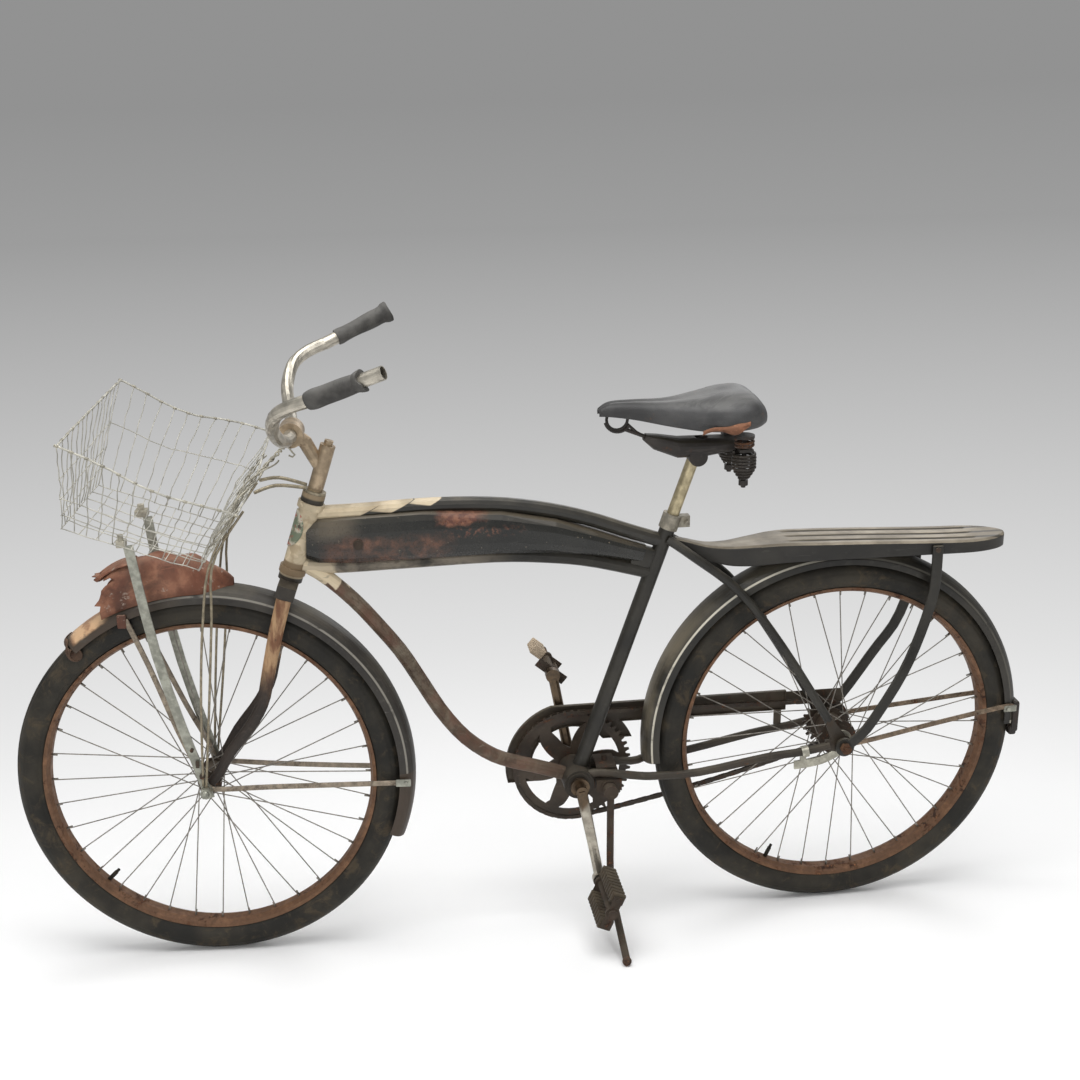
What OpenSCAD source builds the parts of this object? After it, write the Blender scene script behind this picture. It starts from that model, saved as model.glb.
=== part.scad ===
// Old balloon-tyre bicycle, leaning on its side stand.
// Every piece is drawn upright, with x forward, y to the rider's left, z up and the origin where
// the rear tyre meets the ground. parked() then leans the whole bicycle over, and turned() steers
// whatever rides on the fork.

/* [Wheels] */
// Outer radius of both tyres
tyre_r = 333; // [315:1:350]
// Diameter of the tyre's round section
tyre_w = 54; // [48:1:58]
// Distance between the two wheel centres
wheelbase = 1117; // [1020:1:1220]
// Spokes in each wheel
spoke_count = 36; // [28:4:36]
// Width of a hub between its flanges' outer faces
hub_w = 66; // [60:1:72]
// Thread diameter of both axles
axle_d = 9.5; // [8:0.5:11]

/* [Frame] */
// Height of the crank's centre above the ground
bb_height = 280; // [270:1:310]
// Distance of the crank's centre in front of the rear axle
stay_reach = 476; // [440:1:500]
// Angle of the seat tube to the ground
seat_angle = 70.8; // [67:0.5:74]
// Height of the seat tube's top above the ground
seat_tube_top = 741; // [700:1:780]
// Angle of the steering axis to the ground
head_angle = 72; // [68:0.5:74]
// Height of the head tube's lower end
head_low = 700; // [685:1:715]
// Length of the head tube along the steering axis
head_len = 128; // [110:1:150]
// Diameter of the main tubes
tube_d = 25.4; // [22:0.2:30]
// Height of the saddle's top at its rear above the ground
saddle_height = 992; // [940:1:1040]

/* [Fork and bars] */
// Distance of the front axle ahead of the steering axis
rake = 37; // [30:1:55]
// Diameter of the fork's steerer
steerer_d = 25.4; // [22:0.2:28]
// Diameter of the handlebar tube
bar_d = 22.2; // [20:0.2:25.4]
// Wall of the handlebar tube
bar_wall = 1.6; // [1:0.1:3]
// Height of the handlebar in its clamp above the ground
bar_height = 940; // [900:1:980]
// Half width of the handlebar at its ends
bar_reach = 269; // [240:1:300]
// Length of a rubber grip
grip_len = 98; // [80:1:110]

/* [Crank, pedals and chain] */
// Length of a crank arm
crank_len = 167; // [155:1:172]
// Distance of the chain from the middle of the bicycle
chain_line = 44; // [43:0.5:46]
// Teeth on the chainring
ring_teeth = 52; // [44:1:54]
// Teeth on the rear sprocket
cog_teeth = 20; // [16:1:22]
// Pitch of the chain
chain_pitch = 12.7; // [12.7:0.1:12.7]
// Length of a pedal along its spindle
pedal_len = 108; // [80:1:115]

/* [Mudguards and carrier] */
// Half width of a mudguard
guard_half = 33; // [31:0.5:36]
// Thickness of the mudguard sheet
guard_sheet = 1.5; // [1:0.1:2.5]
// Height of the carrier's top above the ground
carrier_height = 702; // [700:1:730]
// Half width of the carrier's top
carrier_half = 46; // [42:1:70]

/* [Basket] */
// Half width of the basket's mouth
mouth_half = 244; // [210:1:260]
// Half width of the basket's floor
floor_half = 138; // [120:1:160]

/* [Parking] */
// Lean of the parked bicycle to its left
lean = 8; // [6:0.5:10]
// Turn of the parked steering to the bicycle's right
steer = 6.3; // [0:0.1:12]
// Distance of the stand's foot from the middle of the bicycle
stand_reach = 235; // [200:1:260]
// Diameter of the stand's leg
stand_d = 13; // [10:0.5:16]

/* [Hidden] */
$fn = 48;
running = 0.06;      // radial clearance of a shaft that turns in its bore
gap = 0.3;           // clearance between pieces of different bodies
seam = 0.15;         // clearance where welded or bolted pieces of one body meet
section_r = tyre_w / 2;
ring_r = tyre_r - section_r;           // radius of the tyre's centre circle
bead_r = ring_r - section_r + 1;       // where the tyre sits on the rim
rear_hub = [0, 0, tyre_r];
front_hub = [wheelbase, 0, tyre_r];
bb = [stay_reach, 0, bb_height];
cot_head = 1 / tan(head_angle);
cot_seat = 1 / tan(seat_angle);
steer_foot = wheelbase - rake / sin(head_angle);
function axis_at(z) = [steer_foot - (z - tyre_r) * cot_head, 0, z];
head_high = head_low + head_len * sin(head_angle);
function post_at(z) = [stay_reach - (z - bb_height) * cot_seat, 0, z];
middle = [552.84, 143, 0];         // middle of the parked bicycle's footprint
post_d = 21.5;
bb_d = 54;
bb_w = 70;
spindle_d = 20;
head_d = 37;
chain_r = [for (n = [ring_teeth, cog_teeth]) chain_pitch / (2 * sin(180 / n))];

// ---- Placing ----

// Height of point p once the upright bicycle leans over
function leaned_z(p) = p.z * cos(lean) - p.y * sin(lean);
// Direction v turned by angle a about the steering axis
head_way = [-cos(head_angle), 0, sin(head_angle)];
function steered(v, a) = v * cos(a) + cross(head_way, v) * sin(a) + head_way * (head_way * v) * (1 - cos(a));
// Steering lowers the front wheel a little, and the bicycle pitches until both tyres stand again
steered_hub = axis_at(tyre_r) + steered(front_hub - axis_at(tyre_r), -steer);
wheel_way = leaned_z(steered([0, 1, 0], -steer));
front_low = leaned_z(steered_hub) - ring_r * sqrt(1 - wheel_way * wheel_way) - section_r * cos(lean);
pitch = asin(front_low / wheelbase);
lift = section_r * (1 - cos(lean));
module parked() {
    translate([0, 0, lift] - middle)
        rotate([0, pitch, 0])
            rotate([-lean, 0, 0])
                children();
}
module about_steering(a) {
    translate(axis_at(tyre_r))
        rotate([0, head_angle - 90, 0])
            rotate([0, 0, a])
                rotate([0, 90 - head_angle, 0])
                    translate(-axis_at(tyre_r))
                        children();
}
module turned(skew = 0) {
    parked()
        about_steering(skew - steer)
            children();
}
module both_sides() {
    children();
    mirror([0, 1, 0])
        children();
}

// ---- Shapes ----

// A cylinder from a to b
module rod(a, b, d) {
    v = b - a;
    translate(a)
        rotate([0, acos(v.z / norm(v)), atan2(v.y, v.x)])
            cylinder(h = norm(v), d = d);
}
// A cylinder along y, centred on p
module across(p, d, w) {
    translate(p)
        rotate([90, 0, 0])
            cylinder(h = w, d = d, center = true);
}
// Point t of the way along the smooth curve through the points p
function curve_at(p, t) =
    let (last = len(p) - 1, i = min(floor(t * last), last - 1), u = t * last - i)
    let (a = p[max(i - 1, 0)], b = p[i], c = p[i + 1], d = p[min(i + 2, last)])
    b + u * (c - a) / 2 + u * u * (2 * a - 5 * b + 4 * c - d) / 2
        + u * u * u * (-a + 3 * b - 3 * c + d) / 2;
function smooth(p, steps) = [for (k = [0:steps]) curve_at(p, k / steps)];
function unit(v) = v / norm(v);
// Skin through the sections at the points p. halves[i] is the half width and half height there,
// side is the direction that widths are measured along, and power squares the section off
module skin(p, halves, sides = 12, power = 2, side = [0, 1, 0]) {
    last = len(p) - 1;
    bend = [for (k = [0:sides - 1]) let (a = 360 * (k + 0.5) / sides)
        [sign(cos(a)) * pow(abs(cos(a)), 2 / power), sign(sin(a)) * pow(abs(sin(a)), 2 / power)]];
    rings = [for (i = [0:last])
        let (along = unit(p[min(i + 1, last)] - p[max(i - 1, 0)]))
        let (up = unit(cross(along, side)), wide = cross(up, along))
        for (c = bend) p[i] + wide * c.x * halves[i].x + up * c.y * halves[i].y];
    walls = [for (i = [0:last - 1], k = [0:sides - 1])
        let (n = (k + 1) % sides, a = i * sides + k, b = i * sides + n)
        for (f = [[b + sides, b, a], [a + sides, b + sides, a]]) f];
    ends = [[for (k = [0:sides - 1]) k], [for (k = [sides - 1:-1:0]) last * sides + k]];
    polyhedron(points = rings, faces = concat(walls, ends));
}
// A round tube of diameter d through the points p
module tube(p, d, steps = 16, sides = 12, side = [0, 1, 0]) {
    path = smooth(p, steps);
    skin(path, [for (q = path) [d / 2, d / 2]], sides, 2, side);
}
// A flat bar through the points p, thick along y and wide across it, with rounded edges
module flat(p, thick, wide, steps = 12) {
    path = smooth(p, steps);
    skin(path, [for (q = path) [thick / 2, wide / 2]], 12, 4);
}
// A flat bar through the points p, wide along y and thick across it
module strap(p, wide, thick, steps = 10) {
    path = smooth(p, steps);
    skin(path, [for (q = path) [wide / 2, thick / 2]], 4, 40);
}

// ---- Frame ----

cup_d = 45;
cup_h = 11;
// What a tube's end is coped to fit: the head tube, the seat tube and the bottom bracket
module head_room() {
    rod(axis_at(head_low - 40), axis_at(head_high + 40), head_d + 2 * seam);
    for (z = [head_low, head_high - cup_h * sin(head_angle)])
        rod(axis_at(z - seam), axis_at(z + cup_h * sin(head_angle) + seam), cup_d + 2 * seam);
}
module seat_room() {
    rod(post_at(bb_height), post_at(seat_tube_top + 30), tube_d + 2 + 2 * seam);
}
module bb_room() {
    across(bb, bb_d + 2 * seam, bb_w + 20);
}
module head_tube() {
    color("antiquewhite")
        parked()
            difference() {
                union() {
                    rod(axis_at(head_low), axis_at(head_high), head_d);
                    for (z = [head_low, head_high - cup_h * sin(head_angle)])
                        rod(axis_at(z), axis_at(z + cup_h * sin(head_angle)), cup_d);
                }
                rod(axis_at(head_low - 20), axis_at(head_high + 20), steerer_d + 2 * running);
            }
}

// The lengthwise tubes run from the seat tube to the head tube. Each lists how far along the
// way its bends are, and how high they stand over the straight line between the ends
function arched(a, b, bends) = [for (s = bends) a + s.x * (b - a) + [0, 0, s.y]];
top_rear = post_at(seat_tube_top - 22);
top_front = axis_at(head_high - 20);
top_bends = [[0, 0], [0.1, 13], [0.22, 30], [0.34, 40], [0.48, 42], [0.66, 32], [0.86, 12], [1, 0]];
bar_rear = post_at(seat_tube_top - 78);
bar_front = axis_at(head_low + 12);
bar_bends = [[0, 0], [0.17, 20], [0.3, 26], [0.45, 25], [0.7, 11], [0.88, 1], [1, 0]];
module top_run(d) {
    tube(arched(top_rear, top_front, top_bends), d, 24);
}
module top_tube() {
    color("darkslategray")
        parked()
            difference() {
                top_run(tube_d);
                head_room();
                seat_room();
            }
}
module bar_run(d) {
    tube(arched(bar_rear, bar_front, bar_bends), d, 20);
}
module tank_bar() {
    color("darkolivegreen")
        parked()
            difference() {
                bar_run(tube_d);
                head_room();
                seat_room();
            }
}

// The tank fills the space between the two tubes and tapers to a point at the seat tube
tank_wide = [14, 20, 24, 26, 27, 27, 26, 25, 20];
tank_at = [0.06, 0.12, 0.22, 0.36, 0.52, 0.68, 0.84, 0.93, 0.975];
tank_fill = [0.68, 0.8, 0.9, 0.95, 0.98, 0.98, 0.98, 0.95, 0.78];
module tank() {
    upper = arched(top_rear, top_front, top_bends);
    lower = arched(bar_rear, bar_front, bar_bends);
    color("black")
        parked()
            difference() {
                skin([for (t = tank_at) (curve_at(upper, t) + curve_at(lower, t)) / 2],
                    [for (i = [0:len(tank_at) - 1])
                        let (u = curve_at(upper, tank_at[i]), l = curve_at(lower, tank_at[i]))
                        [tank_wide[i], tank_fill[i] * (u.z - l.z - tube_d * 0.3) / 2]],
                    16, 3);
                top_run(tube_d + 2 * seam);
                bar_run(tube_d + 2 * seam);
                head_room();
            }
}

down_top = axis_at(head_low + 22);
down_bends = [[0, 0], [0.14, -38], [0.25, -70], [0.33, -87], [0.42, -91], [0.5, -76], [0.57, -48],
    [0.64, -20], [0.72, -3], [0.8, 9], [0.9, 12], [1, 0]];
module down_tube() {
    color("saddlebrown")
        parked()
            difference() {
                tube(arched(bb, down_top, down_bends), tube_d, 28);
                bar_run(tube_d + 2 * seam);
                head_room();
                bb_room();
            }
}

module seat_tube() {
    color("darkslategray")
        parked()
            difference() {
                rod(bb, post_at(seat_tube_top), tube_d + 2);
                bb_room();
                rod(post_at(seat_tube_top - 150), post_at(seat_tube_top + 1), post_d + 2 * running);
            }
}

module bottom_bracket() {
    color("dimgray")
        parked()
            difference() {
                union() {
                    across(bb, bb_d, bb_w);
                    for (s = [-1, 1])
                        across(bb + [0, s * (bb_w / 2 + 1.5), 0], bb_d - 8, 3.01);
                }
                across(bb, spindle_d + 2 * running, bb_w + 20);
            }
}

// The dropouts carry the rear axle beside the hub
drop_in = 52;        // inner face of a dropout
drop_t = 5;
stay_d = 15;
stay_line = [bb + [-12, 23, 10], bb + [-35, 25, 17], bb + [-107, 30, 7], bb + [-141, 40, 9],
    bb + [-216, 46, 13], [140, 51, 315], [70, drop_in + 3, 323], rear_hub + [24, drop_in + 4, -1]];
module chain_stays() {
    color("darkslategray")
        parked()
            both_sides()
                difference() {
                    union() {
                        tube(stay_line, stay_d, 21);
                        translate(rear_hub + [0, drop_in + drop_t, 0])
                            rotate([90, 0, 0])
                                linear_extrude(drop_t)
                                    dropout();
                    }
                    across(rear_hub + [0, drop_in, 0], axle_d + 2 * running, 40);
                    bb_room();
                }
}
// Plate around the axle, with a tab for each of its two stays. The upper tab ends at tab_end
tab_end = [[34, 44], [20, 50]];
module dropout() {
    circle(r = 17);
    polygon([[0, -17], [32, -9], [32, 9], [0, 17]]);
    polygon([[-17, 0], [17, 0], tab_end[0], tab_end[1]]);
}
module seat_stays() {
    top = post_at(seat_tube_top - 16);
    along = unit([stay_reach * 0.25, 529] - [rear_hub.x, rear_hub.z] - (tab_end[0] + tab_end[1]) / 2);
    tab = (tab_end[0] + tab_end[1]) / 2 + 1.2 * along;
    foot = rear_hub + [tab.x, drop_in + drop_t / 2, tab.y];
    color("darkslategray")
        parked()
            both_sides()
                difference() {
                    tube([top + [-4, 13, 0], top + [-45, 30, -28], top + [-125, 44, -92],
                        [stay_reach * 0.25, drop_in + 5, 529], foot], 16, 16);
                    seat_room();
                }
}

// ---- Saddle ----

clamp_h = 26;
post_top = post_at(saddle_height - 118);
module seat_clamp() {
    low = post_at(seat_tube_top + 0.2);
    high = post_at(seat_tube_top + clamp_h);
    color("rosybrown")
        parked()
            difference() {
                union() {
                    rod(low, high, tube_d + 8);
                    translate(post_at(seat_tube_top + clamp_h / 2) + [-22, 0, 0])
                        cube([22, 16, clamp_h - 6], center = true);
                    across(post_at(seat_tube_top + clamp_h / 2) + [-26, 0, 0], 8, 40);
                }
                rod(post_at(seat_tube_top - 5), post_at(seat_tube_top + 40), post_d + 2 * running);
            }
}
module seat_post() {
    color("darkgoldenrod")
        parked()
            rod(post_at(seat_tube_top - 120), post_top, post_d);
}
// The saddle's cover, from its nose to its rear edge
saddle_back = post_top + [-118, 0, 78];
saddle_path = [[286, 0, -8], [266, 0, -3], [225, 0, -4], [170, 0, -8], [115, 0, -8], [70, 0, -4],
    [32, 0, -2], [10, 0, -8]];
saddle_half = [[9, 6], [18, 13], [24, 18], [36, 25], [62, 33], [82, 36], [80, 32], [52, 16]];
module saddle() {
    color("darkslategray")
        parked()
            skin([for (p = smooth(saddle_path, 14)) saddle_back + p],
                smooth(saddle_half, 14), 20, 2.3);
}
spring_wire = 5;
bar_t = 5;
// Middle of the cross bar, and where the left spring's two coils meet it
bar_at = saddle_back + [46, 0, -61.5];
coil_at = bar_at + [0, 48, 0];
plate_z = saddle_back.z - 42.1;      // underside of the plates below the saddle
coil_low = bar_at.z - 53;            // lower end of the hanging coils
module saddle_frame() {
    low = post_top + [0, 0, -4];
    ring = [[274, -18.8], [270.5, -26], [262, -33], [251, -35], [241, -32], [235.5, -27], [233.5, -23.4]];
    color("saddlebrown")
        parked()
            difference() {
                union() {
                    across(low + [0, 0, 2], 32, 48);
                    skin([for (p = [[207, -46], [188, -55], [150, -66], [105, -66], [52, -62]])
                        saddle_back + [p.x, 0, p.y]],
                        [[10, 6], [17, 13], [24, 17], [26, 16], [30, 10]], 16, 3);
                    tube([for (p = ring) saddle_back + [p.x, 0, p.y]], 6, 16, 8, [0, 1, 0]);
                    tube([saddle_back + [241, 0, -31], saddle_back + [226, 0, -37],
                        saddle_back + [204, 0, -46]], 7, 8, 8);
                    translate(bar_at)
                        cube([24, 130, bar_t], center = true);
                    both_sides() {
                        rod([coil_at.x, coil_at.y, coil_low - 14], [coil_at.x, coil_at.y, plate_z + 3], 8);
                        rod([coil_at.x, coil_at.y, coil_low - 10], [coil_at.x, coil_at.y, coil_low - 1], 16);
                        rod([coil_at.x, coil_at.y, plate_z], [coil_at.x, coil_at.y, plate_z + 5], 34);
                    }
                }
                rod(post_at(saddle_height - 180), post_at(saddle_height - 60), post_d + 2 * running);
            }
}
// A coil round the upright at coil_at. radii are its radius at even steps from z0 up to z1
module coil(z0, z1, turns, radii) {
    steps = turns * 14;
    clear = spring_wire / 2 + gap;
    skin([for (k = [0:steps]) let (t = k / steps, a = 360 * turns * t,
            u = t * (len(radii) - 1), i = min(floor(u), len(radii) - 2),
            r = radii[i] + (u - i) * (radii[i + 1] - radii[i]))
        [coil_at.x + r * cos(a), coil_at.y + r * sin(a), z0 + clear + t * (z1 - z0 - 2 * clear)]],
        [for (k = [0:steps]) [spring_wire / 2, spring_wire / 2]], 6, 2, [0, 0, 1]);
}
module saddle_springs() {
    color("black")
        parked()
            both_sides() {
                coil(bar_at.z + bar_t / 2, plate_z, 2, [15, 15]);
                coil(coil_low, bar_at.z - bar_t / 2, 8, [8, 14, 19, 19, 19, 18]);
            }
}

// ---- Mudguards and carrier ----

// Half of the guard's cross-section outline: an arch of depth guard_drop
guard_drop = 27;
function arch(half, drop, n) = [for (k = [0:n]) let (a = 180 * k / n)
    [half * cos(a), drop * pow(sin(a), 0.7)]];
module guard(centre, crown_r, from, to, sheet = guard_sheet) {
    outer = arch(guard_half, guard_drop, 14);
    inner = arch(guard_half - sheet, guard_drop - sheet, 14);
    translate(centre)
        rotate([90, 0, 0])
            rotate([0, 0, from])
                rotate_extrude(angle = to - from, $fn = 120)
                    translate([crown_r - guard_drop, 0])
                        rotate([0, 0, -90])
                            polygon(concat(outer, [for (k = [14:-1:0]) inner[k]]));
}
rear_guard_centre = rear_hub + [8, 0, 10];
rear_guard_r = tyre_r + 17;
rear_guard_from = -6;
rear_guard_to = 181;
module rear_fender() {
    color("darkolivegreen")
        parked()
            guard(rear_guard_centre, rear_guard_r, rear_guard_from, rear_guard_to);
}
brace_y = drop_in + drop_t + 5.2;
module rear_fender_braces() {
    color("saddlebrown")
        parked()
            both_sides()
                difference() {
                    union() {
                        flat([rear_hub + [-9, brace_y, 1], rear_hub + [-60, brace_y - 2, 8],
                            rear_hub + [-160, 50, 22], rear_hub + [-300, guard_half + 4, 40],
                            rear_guard_centre + [-rear_guard_r + 14, guard_half + 2.5, 30]], 4.4, 9);
                        across(rear_hub + [0, brace_y, 0], 24, 3);
                    }
                    across(rear_hub + [0, brace_y, 0], axle_d + 2 * running, 20);
                }
}
carrier_tail = -296;
carrier_nose = 245;
carrier_t = 2.5;
carrier_skirt = 22;
module carrier_outline(half) {
    nose = carrier_nose - (carrier_half - half);
    polygon(concat(
        [[nose, -14], [nose, 14], [170, half * 0.72], [110, half * 0.95], [50, half]],
        [for (a = [90:15:270])
            [carrier_tail + 90 + 90 * cos(a) * (half / carrier_half), half * sin(a)]],
        [[50, -half], [110, -half * 0.95], [170, -half * 0.72]]));
}
module rack() {
    color("dimgray")
        parked()
            union() {
                difference() {
                    translate([0, 0, carrier_height - carrier_skirt])
                        linear_extrude(carrier_skirt)
                            carrier_outline(carrier_half);
                    translate([0, 0, carrier_height - carrier_skirt - 1])
                        linear_extrude(carrier_skirt - carrier_t + 1)
                            carrier_outline(carrier_half - carrier_t);
                    for (y = [-26, 0, 26])
                        translate([-60, y, carrier_height])
                            cube([300, 9, 20], center = true);
                }
                strap([post_at(seat_tube_top + clamp_h / 2) + [-36.6, 0, -2],
                    [277, 0, carrier_height + 18], [carrier_nose - 5, 0, carrier_height - 2],
                    [carrier_nose - 40, 0, carrier_height - 4]], 24, 4);
            }
}
leg_y = drop_in + drop_t + 17;
module rack_legs() {
    color("darkslategray")
        parked()
            both_sides()
                difference() {
                    union() {
                        flat([[-156, carrier_half + 3.7, carrier_height - 4],
                            [-154, carrier_half + 3.7, carrier_height - 90],
                            [-130, carrier_half + 7, 525], [-94, leg_y - 6, 457],
                            [-40, leg_y, 372], rear_hub + [-9, leg_y, 9]], 7, 19, 16);
                        across(rear_hub + [0, leg_y - 5, 0], 34, 6);
                    }
                    across(rear_hub + [0, leg_y, 0], axle_d + 2 * running, 40);
                }
}

// ---- Chain side ----

guard_y = -chain_line - 10;
guard_tail = 38;     // height of the chain guard's straight tail
guard_deep = 6.5;
guard_end = 75;      // where the deep part ends, just ahead of the seat stay
guard_start = -38;   // rear end of the flat strip that runs on outside the seat stay
guard_step = 9.6;    // how far out that strip stands
module chain_guard() {
    tab = curve_at([for (p = stay_line) [p.x, -p.y, p.z]], 0.81);
    color("saddlebrown")
        parked()
            union() {
                translate([0, guard_y, 0])
                    rotate([90, 0, 0])
                        difference() {
                            linear_extrude(guard_deep, center = true)
                                chain_guard_outline(0);
                            translate([0, 0, -1.5])
                                linear_extrude(guard_deep, center = true)
                                    chain_guard_outline(1.5);
                        }
                translate([guard_start, guard_y - guard_step - 1.5, tail_low + 4])
                    cube([guard_end + 20 - guard_start, 1.5, guard_tail - 12]);
                translate([guard_end + 3, guard_y - guard_step, tail_low + 8])
                    cube([14, guard_step - guard_deep / 2 + 1, guard_tail - 20]);
                translate([tab.x, guard_y, (tab.z + stay_d / 2 + 2 * gap + tail_low + 2) / 2])
                    cube([14, 2, tail_low + 2 - (tab.z + stay_d / 2 + 2 * gap)], center = true);
            }
}
// Hockey-stick outline in x and z: a hood over the chainring and a long straight tail
module chain_guard_outline(inset) {
    hood = chain_r[0] + 16 - inset;
    centre = [bb.x, bb.z];
    intersection() {
        union() {
            difference() {
                translate(centre)
                    circle(r = hood, $fn = 96);
                translate(centre)
                    circle(r = 74 + inset);
            }
            difference() {
                translate([guard_end + inset, tail_low + inset])
                    square([bb.x - guard_end - inset, guard_tail - 2 * inset]);
                translate(centre)
                    circle(r = 74 + inset);
            }
        }
        union() {
            translate([guard_end + inset, bb.z + 46 + inset])
                square([bb.x + 300, 300]);
            translate([bb.x + 60, bb.z - 30 + inset])
                square([300, 300]);
        }
        square([bb.x + 300, tail_low + guard_tail - inset]);
    }
}
tail_low = tyre_r + chain_r[1] - 16;
// Outline of a belt around the chainring and the sprocket, grow outside their pitch circles
module belt(grow) {
    hubs = [[bb.x, bb.z], [0, tyre_r]];
    r = [chain_r[0] + grow, chain_r[1] + grow];
    tilt = atan2(hubs[1].y - hubs[0].y, hubs[1].x - hubs[0].x);
    open = acos((chain_r[0] - chain_r[1]) / norm(hubs[1] - hubs[0]));
    low = [for (i = [1, 0]) hubs[i] + r[i] * [cos(tilt + open), sin(tilt + open)]];
    polygon(concat(
        [for (k = [0:48]) let (a = tilt + open + (360 - 2 * open) * k / 48)
            hubs[0] + r[0] * [cos(a), sin(a)]],
        [for (k = [0:24]) let (a = tilt - open + 2 * open * k / 24)
            hubs[1] + r[1] * [cos(a), sin(a)]],
        [for (k = [1:9]) low[0] + (low[1] - low[0]) * k / 10
            - [0, 4 * sag * k / 10 * (1 - k / 10)]]));
}
sag = 9;             // how far the chain's lower run hangs down in its middle
plate_in = 1.9;      // inner faces of the side plates, either side of the teeth
plate_t = 1.4;
module chain() {
    color("black")
        parked()
            for (s = [-1, 1])
                translate([0, -chain_line + s * (plate_in + plate_t / 2), 0])
                    rotate([90, 0, 0])
                        linear_extrude(plate_t, center = true)
                            difference() {
                                belt(4.5);
                                belt(-4.5);
                            }
}
// Toothed disc on the chain line, standing upright at the origin
module toothed(teeth, t) {
    r = chain_pitch / (2 * sin(180 / teeth));
    rotate([90, 0, 0])
        linear_extrude(t, center = true)
            polygon([for (k = [0:teeth - 1], c = [[-0.32, -4], [-0.13, 3.5], [0.13, 3.5], [0.32, -4]])
                (r + c[1]) * [cos((k + c[0]) * 360 / teeth), sin((k + c[0]) * 360 / teeth)]]);
}
tooth_t = 3;
module chainring() {
    r = chain_r[0];
    color("saddlebrown")
        parked()
            translate([bb.x, -chain_line, bb.z])
                difference() {
                    toothed(ring_teeth, tooth_t);
                    rotate([90, 0, 0])
                        cylinder(d = spindle_d + 2 * running, h = 20, center = true);
                    rotate([90, 0, 0])
                        for (a = [0:60:300])
                            rotate([0, 0, a])
                                linear_extrude(20, center = true)
                                    ring_window(r);
                }
}
// One of the six curved windows between the chainring's spokes
module ring_window(r) {
    n = 6;
    polygon(concat(
        [for (k = [0:n]) (r - 17) * [cos(4 + 44 * k / n), sin(4 + 44 * k / n)]],
        [for (k = [1:n]) let (q = r - 17 - (r - 53) * k / n, a = 48 - 3 - 20 * k / n)
            q * [cos(a), sin(a)]],
        [for (k = [1:n - 1]) let (q = 36 + (r - 53) * k / n, a = 14 - 22 * (k / n) + 8 * (k / n) * (k / n))
            q * [cos(a), sin(a)]]));
}
arm_y = bb_w / 2 + 30;
arm_out = 20;
crank_tilt = 10;
function crank_end(s) = bb + crank_len * [-s * sin(crank_tilt), 0, -s * cos(crank_tilt)]
    + [0, s * (arm_y + arm_out), 0];
pin_d = 14;
module crank() {
    color("silver")
        parked()
            union() {
                across(bb, spindle_d, 2 * arm_y);
                across(bb + [0, -chain_line + tooth_t / 2 + 2, 0], 40, 3.8);
                across(bb + [0, bb_w / 2 + 9, 0], 34, 6);
                for (s = [1, -1]) {
                    e = crank_end(s);
                    root = bb + [0, s * (arm_y - 6), 0];
                    skin([root, root + 0.2 * (e - root), root + 0.6 * (e - root), e - [0, s * 2, 0]],
                        [[8, 10], [7.5, 10], [7, 9], [6.5, 9]], 12, 2.6);
                    across(e - [0, s * 2, 0], 26, 14);
                    across(e + [0, s * (pedal_len / 2 + 5), 0], pin_d - 4, pedal_len + 10);
                }
            }
}
pedal_half = 36;     // half depth of the pedal's platform
block_t = 25;
module pedal_at(s) {
    translate(crank_end(s) + [0, s * (pedal_len / 2 + 10), 0])
        rotate([0, s > 0 ? 66 : -40, 0])
            children();
}
// The steel part of a pedal: sleeve and end plates, around the spindle
module pedal_body(plates) {
    difference() {
        union() {
            across([0, 0, 0], pin_d, pedal_len);
            for (y = plates)
                translate([0, y, 0])
                    cube([2 * pedal_half - 8, 3, 18], center = true);
            for (y = plates)
                across([0, y, 0], 24, 6);
        }
        across([0, 0, 0], pin_d - 4 + 2 * running, pedal_len + 1);
    }
}
module pedal_block(x) {
    translate([x, 0, 0])
        cube([20, pedal_len - 9.4, block_t], center = true);
}
module left_pedal() {
    plate = pedal_len / 2 - 3;
    color("darkolivegreen")
        parked()
            pedal_at(1)
                union() {
                    pedal_body([-plate, plate]);
                    for (x = [-1, 1])
                        pedal_block(x * (pedal_half - 10));
                }
}
module right_pedal() {
    plate = pedal_len / 2 - 3;
    color("tan")
        parked()
            pedal_at(-1)
                union() {
                    pedal_body([plate - 2, -plate + 38]);
                    translate([19.5, -plate + 20, 0])
                        cube([26, 44, block_t - 6], center = true);
                }
}
module rear_sprocket() {
    color("black")
        parked()
            translate(rear_hub + [0, -chain_line, 0])
                difference() {
                    union() {
                        toothed(cog_teeth, tooth_t);
                        across([0, 3.5, 0], 46, 4.02);
                    }
                    across([0, 0, 0], driver_d + 2 * running, 40);
                }
}
brake_y = drop_in - 6;
module brake_arm() {
    clip = [for (t = [0.845, 0.875]) curve_at(stay_line, t)];
    end = rear_hub + [85, brake_y, -40];
    color("silver")
        parked()
            union() {
                difference() {
                    union() {
                        across(rear_hub + [0, brake_y, 0], 44, 4);
                        strap([rear_hub + [-2, brake_y, -16], rear_hub + [30, brake_y, -32],
                            rear_hub + [60, brake_y, -38], end], 4, 16, 8);
                    }
                    across(rear_hub + [0, brake_y, 0], axle_d + 2 * running, 8);
                }
                difference() {
                    union() {
                        rod(clip[0], clip[1], stay_d + 6);
                        translate([(clip[0].x + clip[1].x) / 2, brake_y, (end.z + clip[0].z) / 2])
                            cube([11, 4, clip[0].z - end.z], center = true);
                    }
                    rod(clip[0] + (clip[0] - clip[1]), clip[1] + (clip[1] - clip[0]), stay_d + 2 * gap);
                }
            }
}
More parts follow.
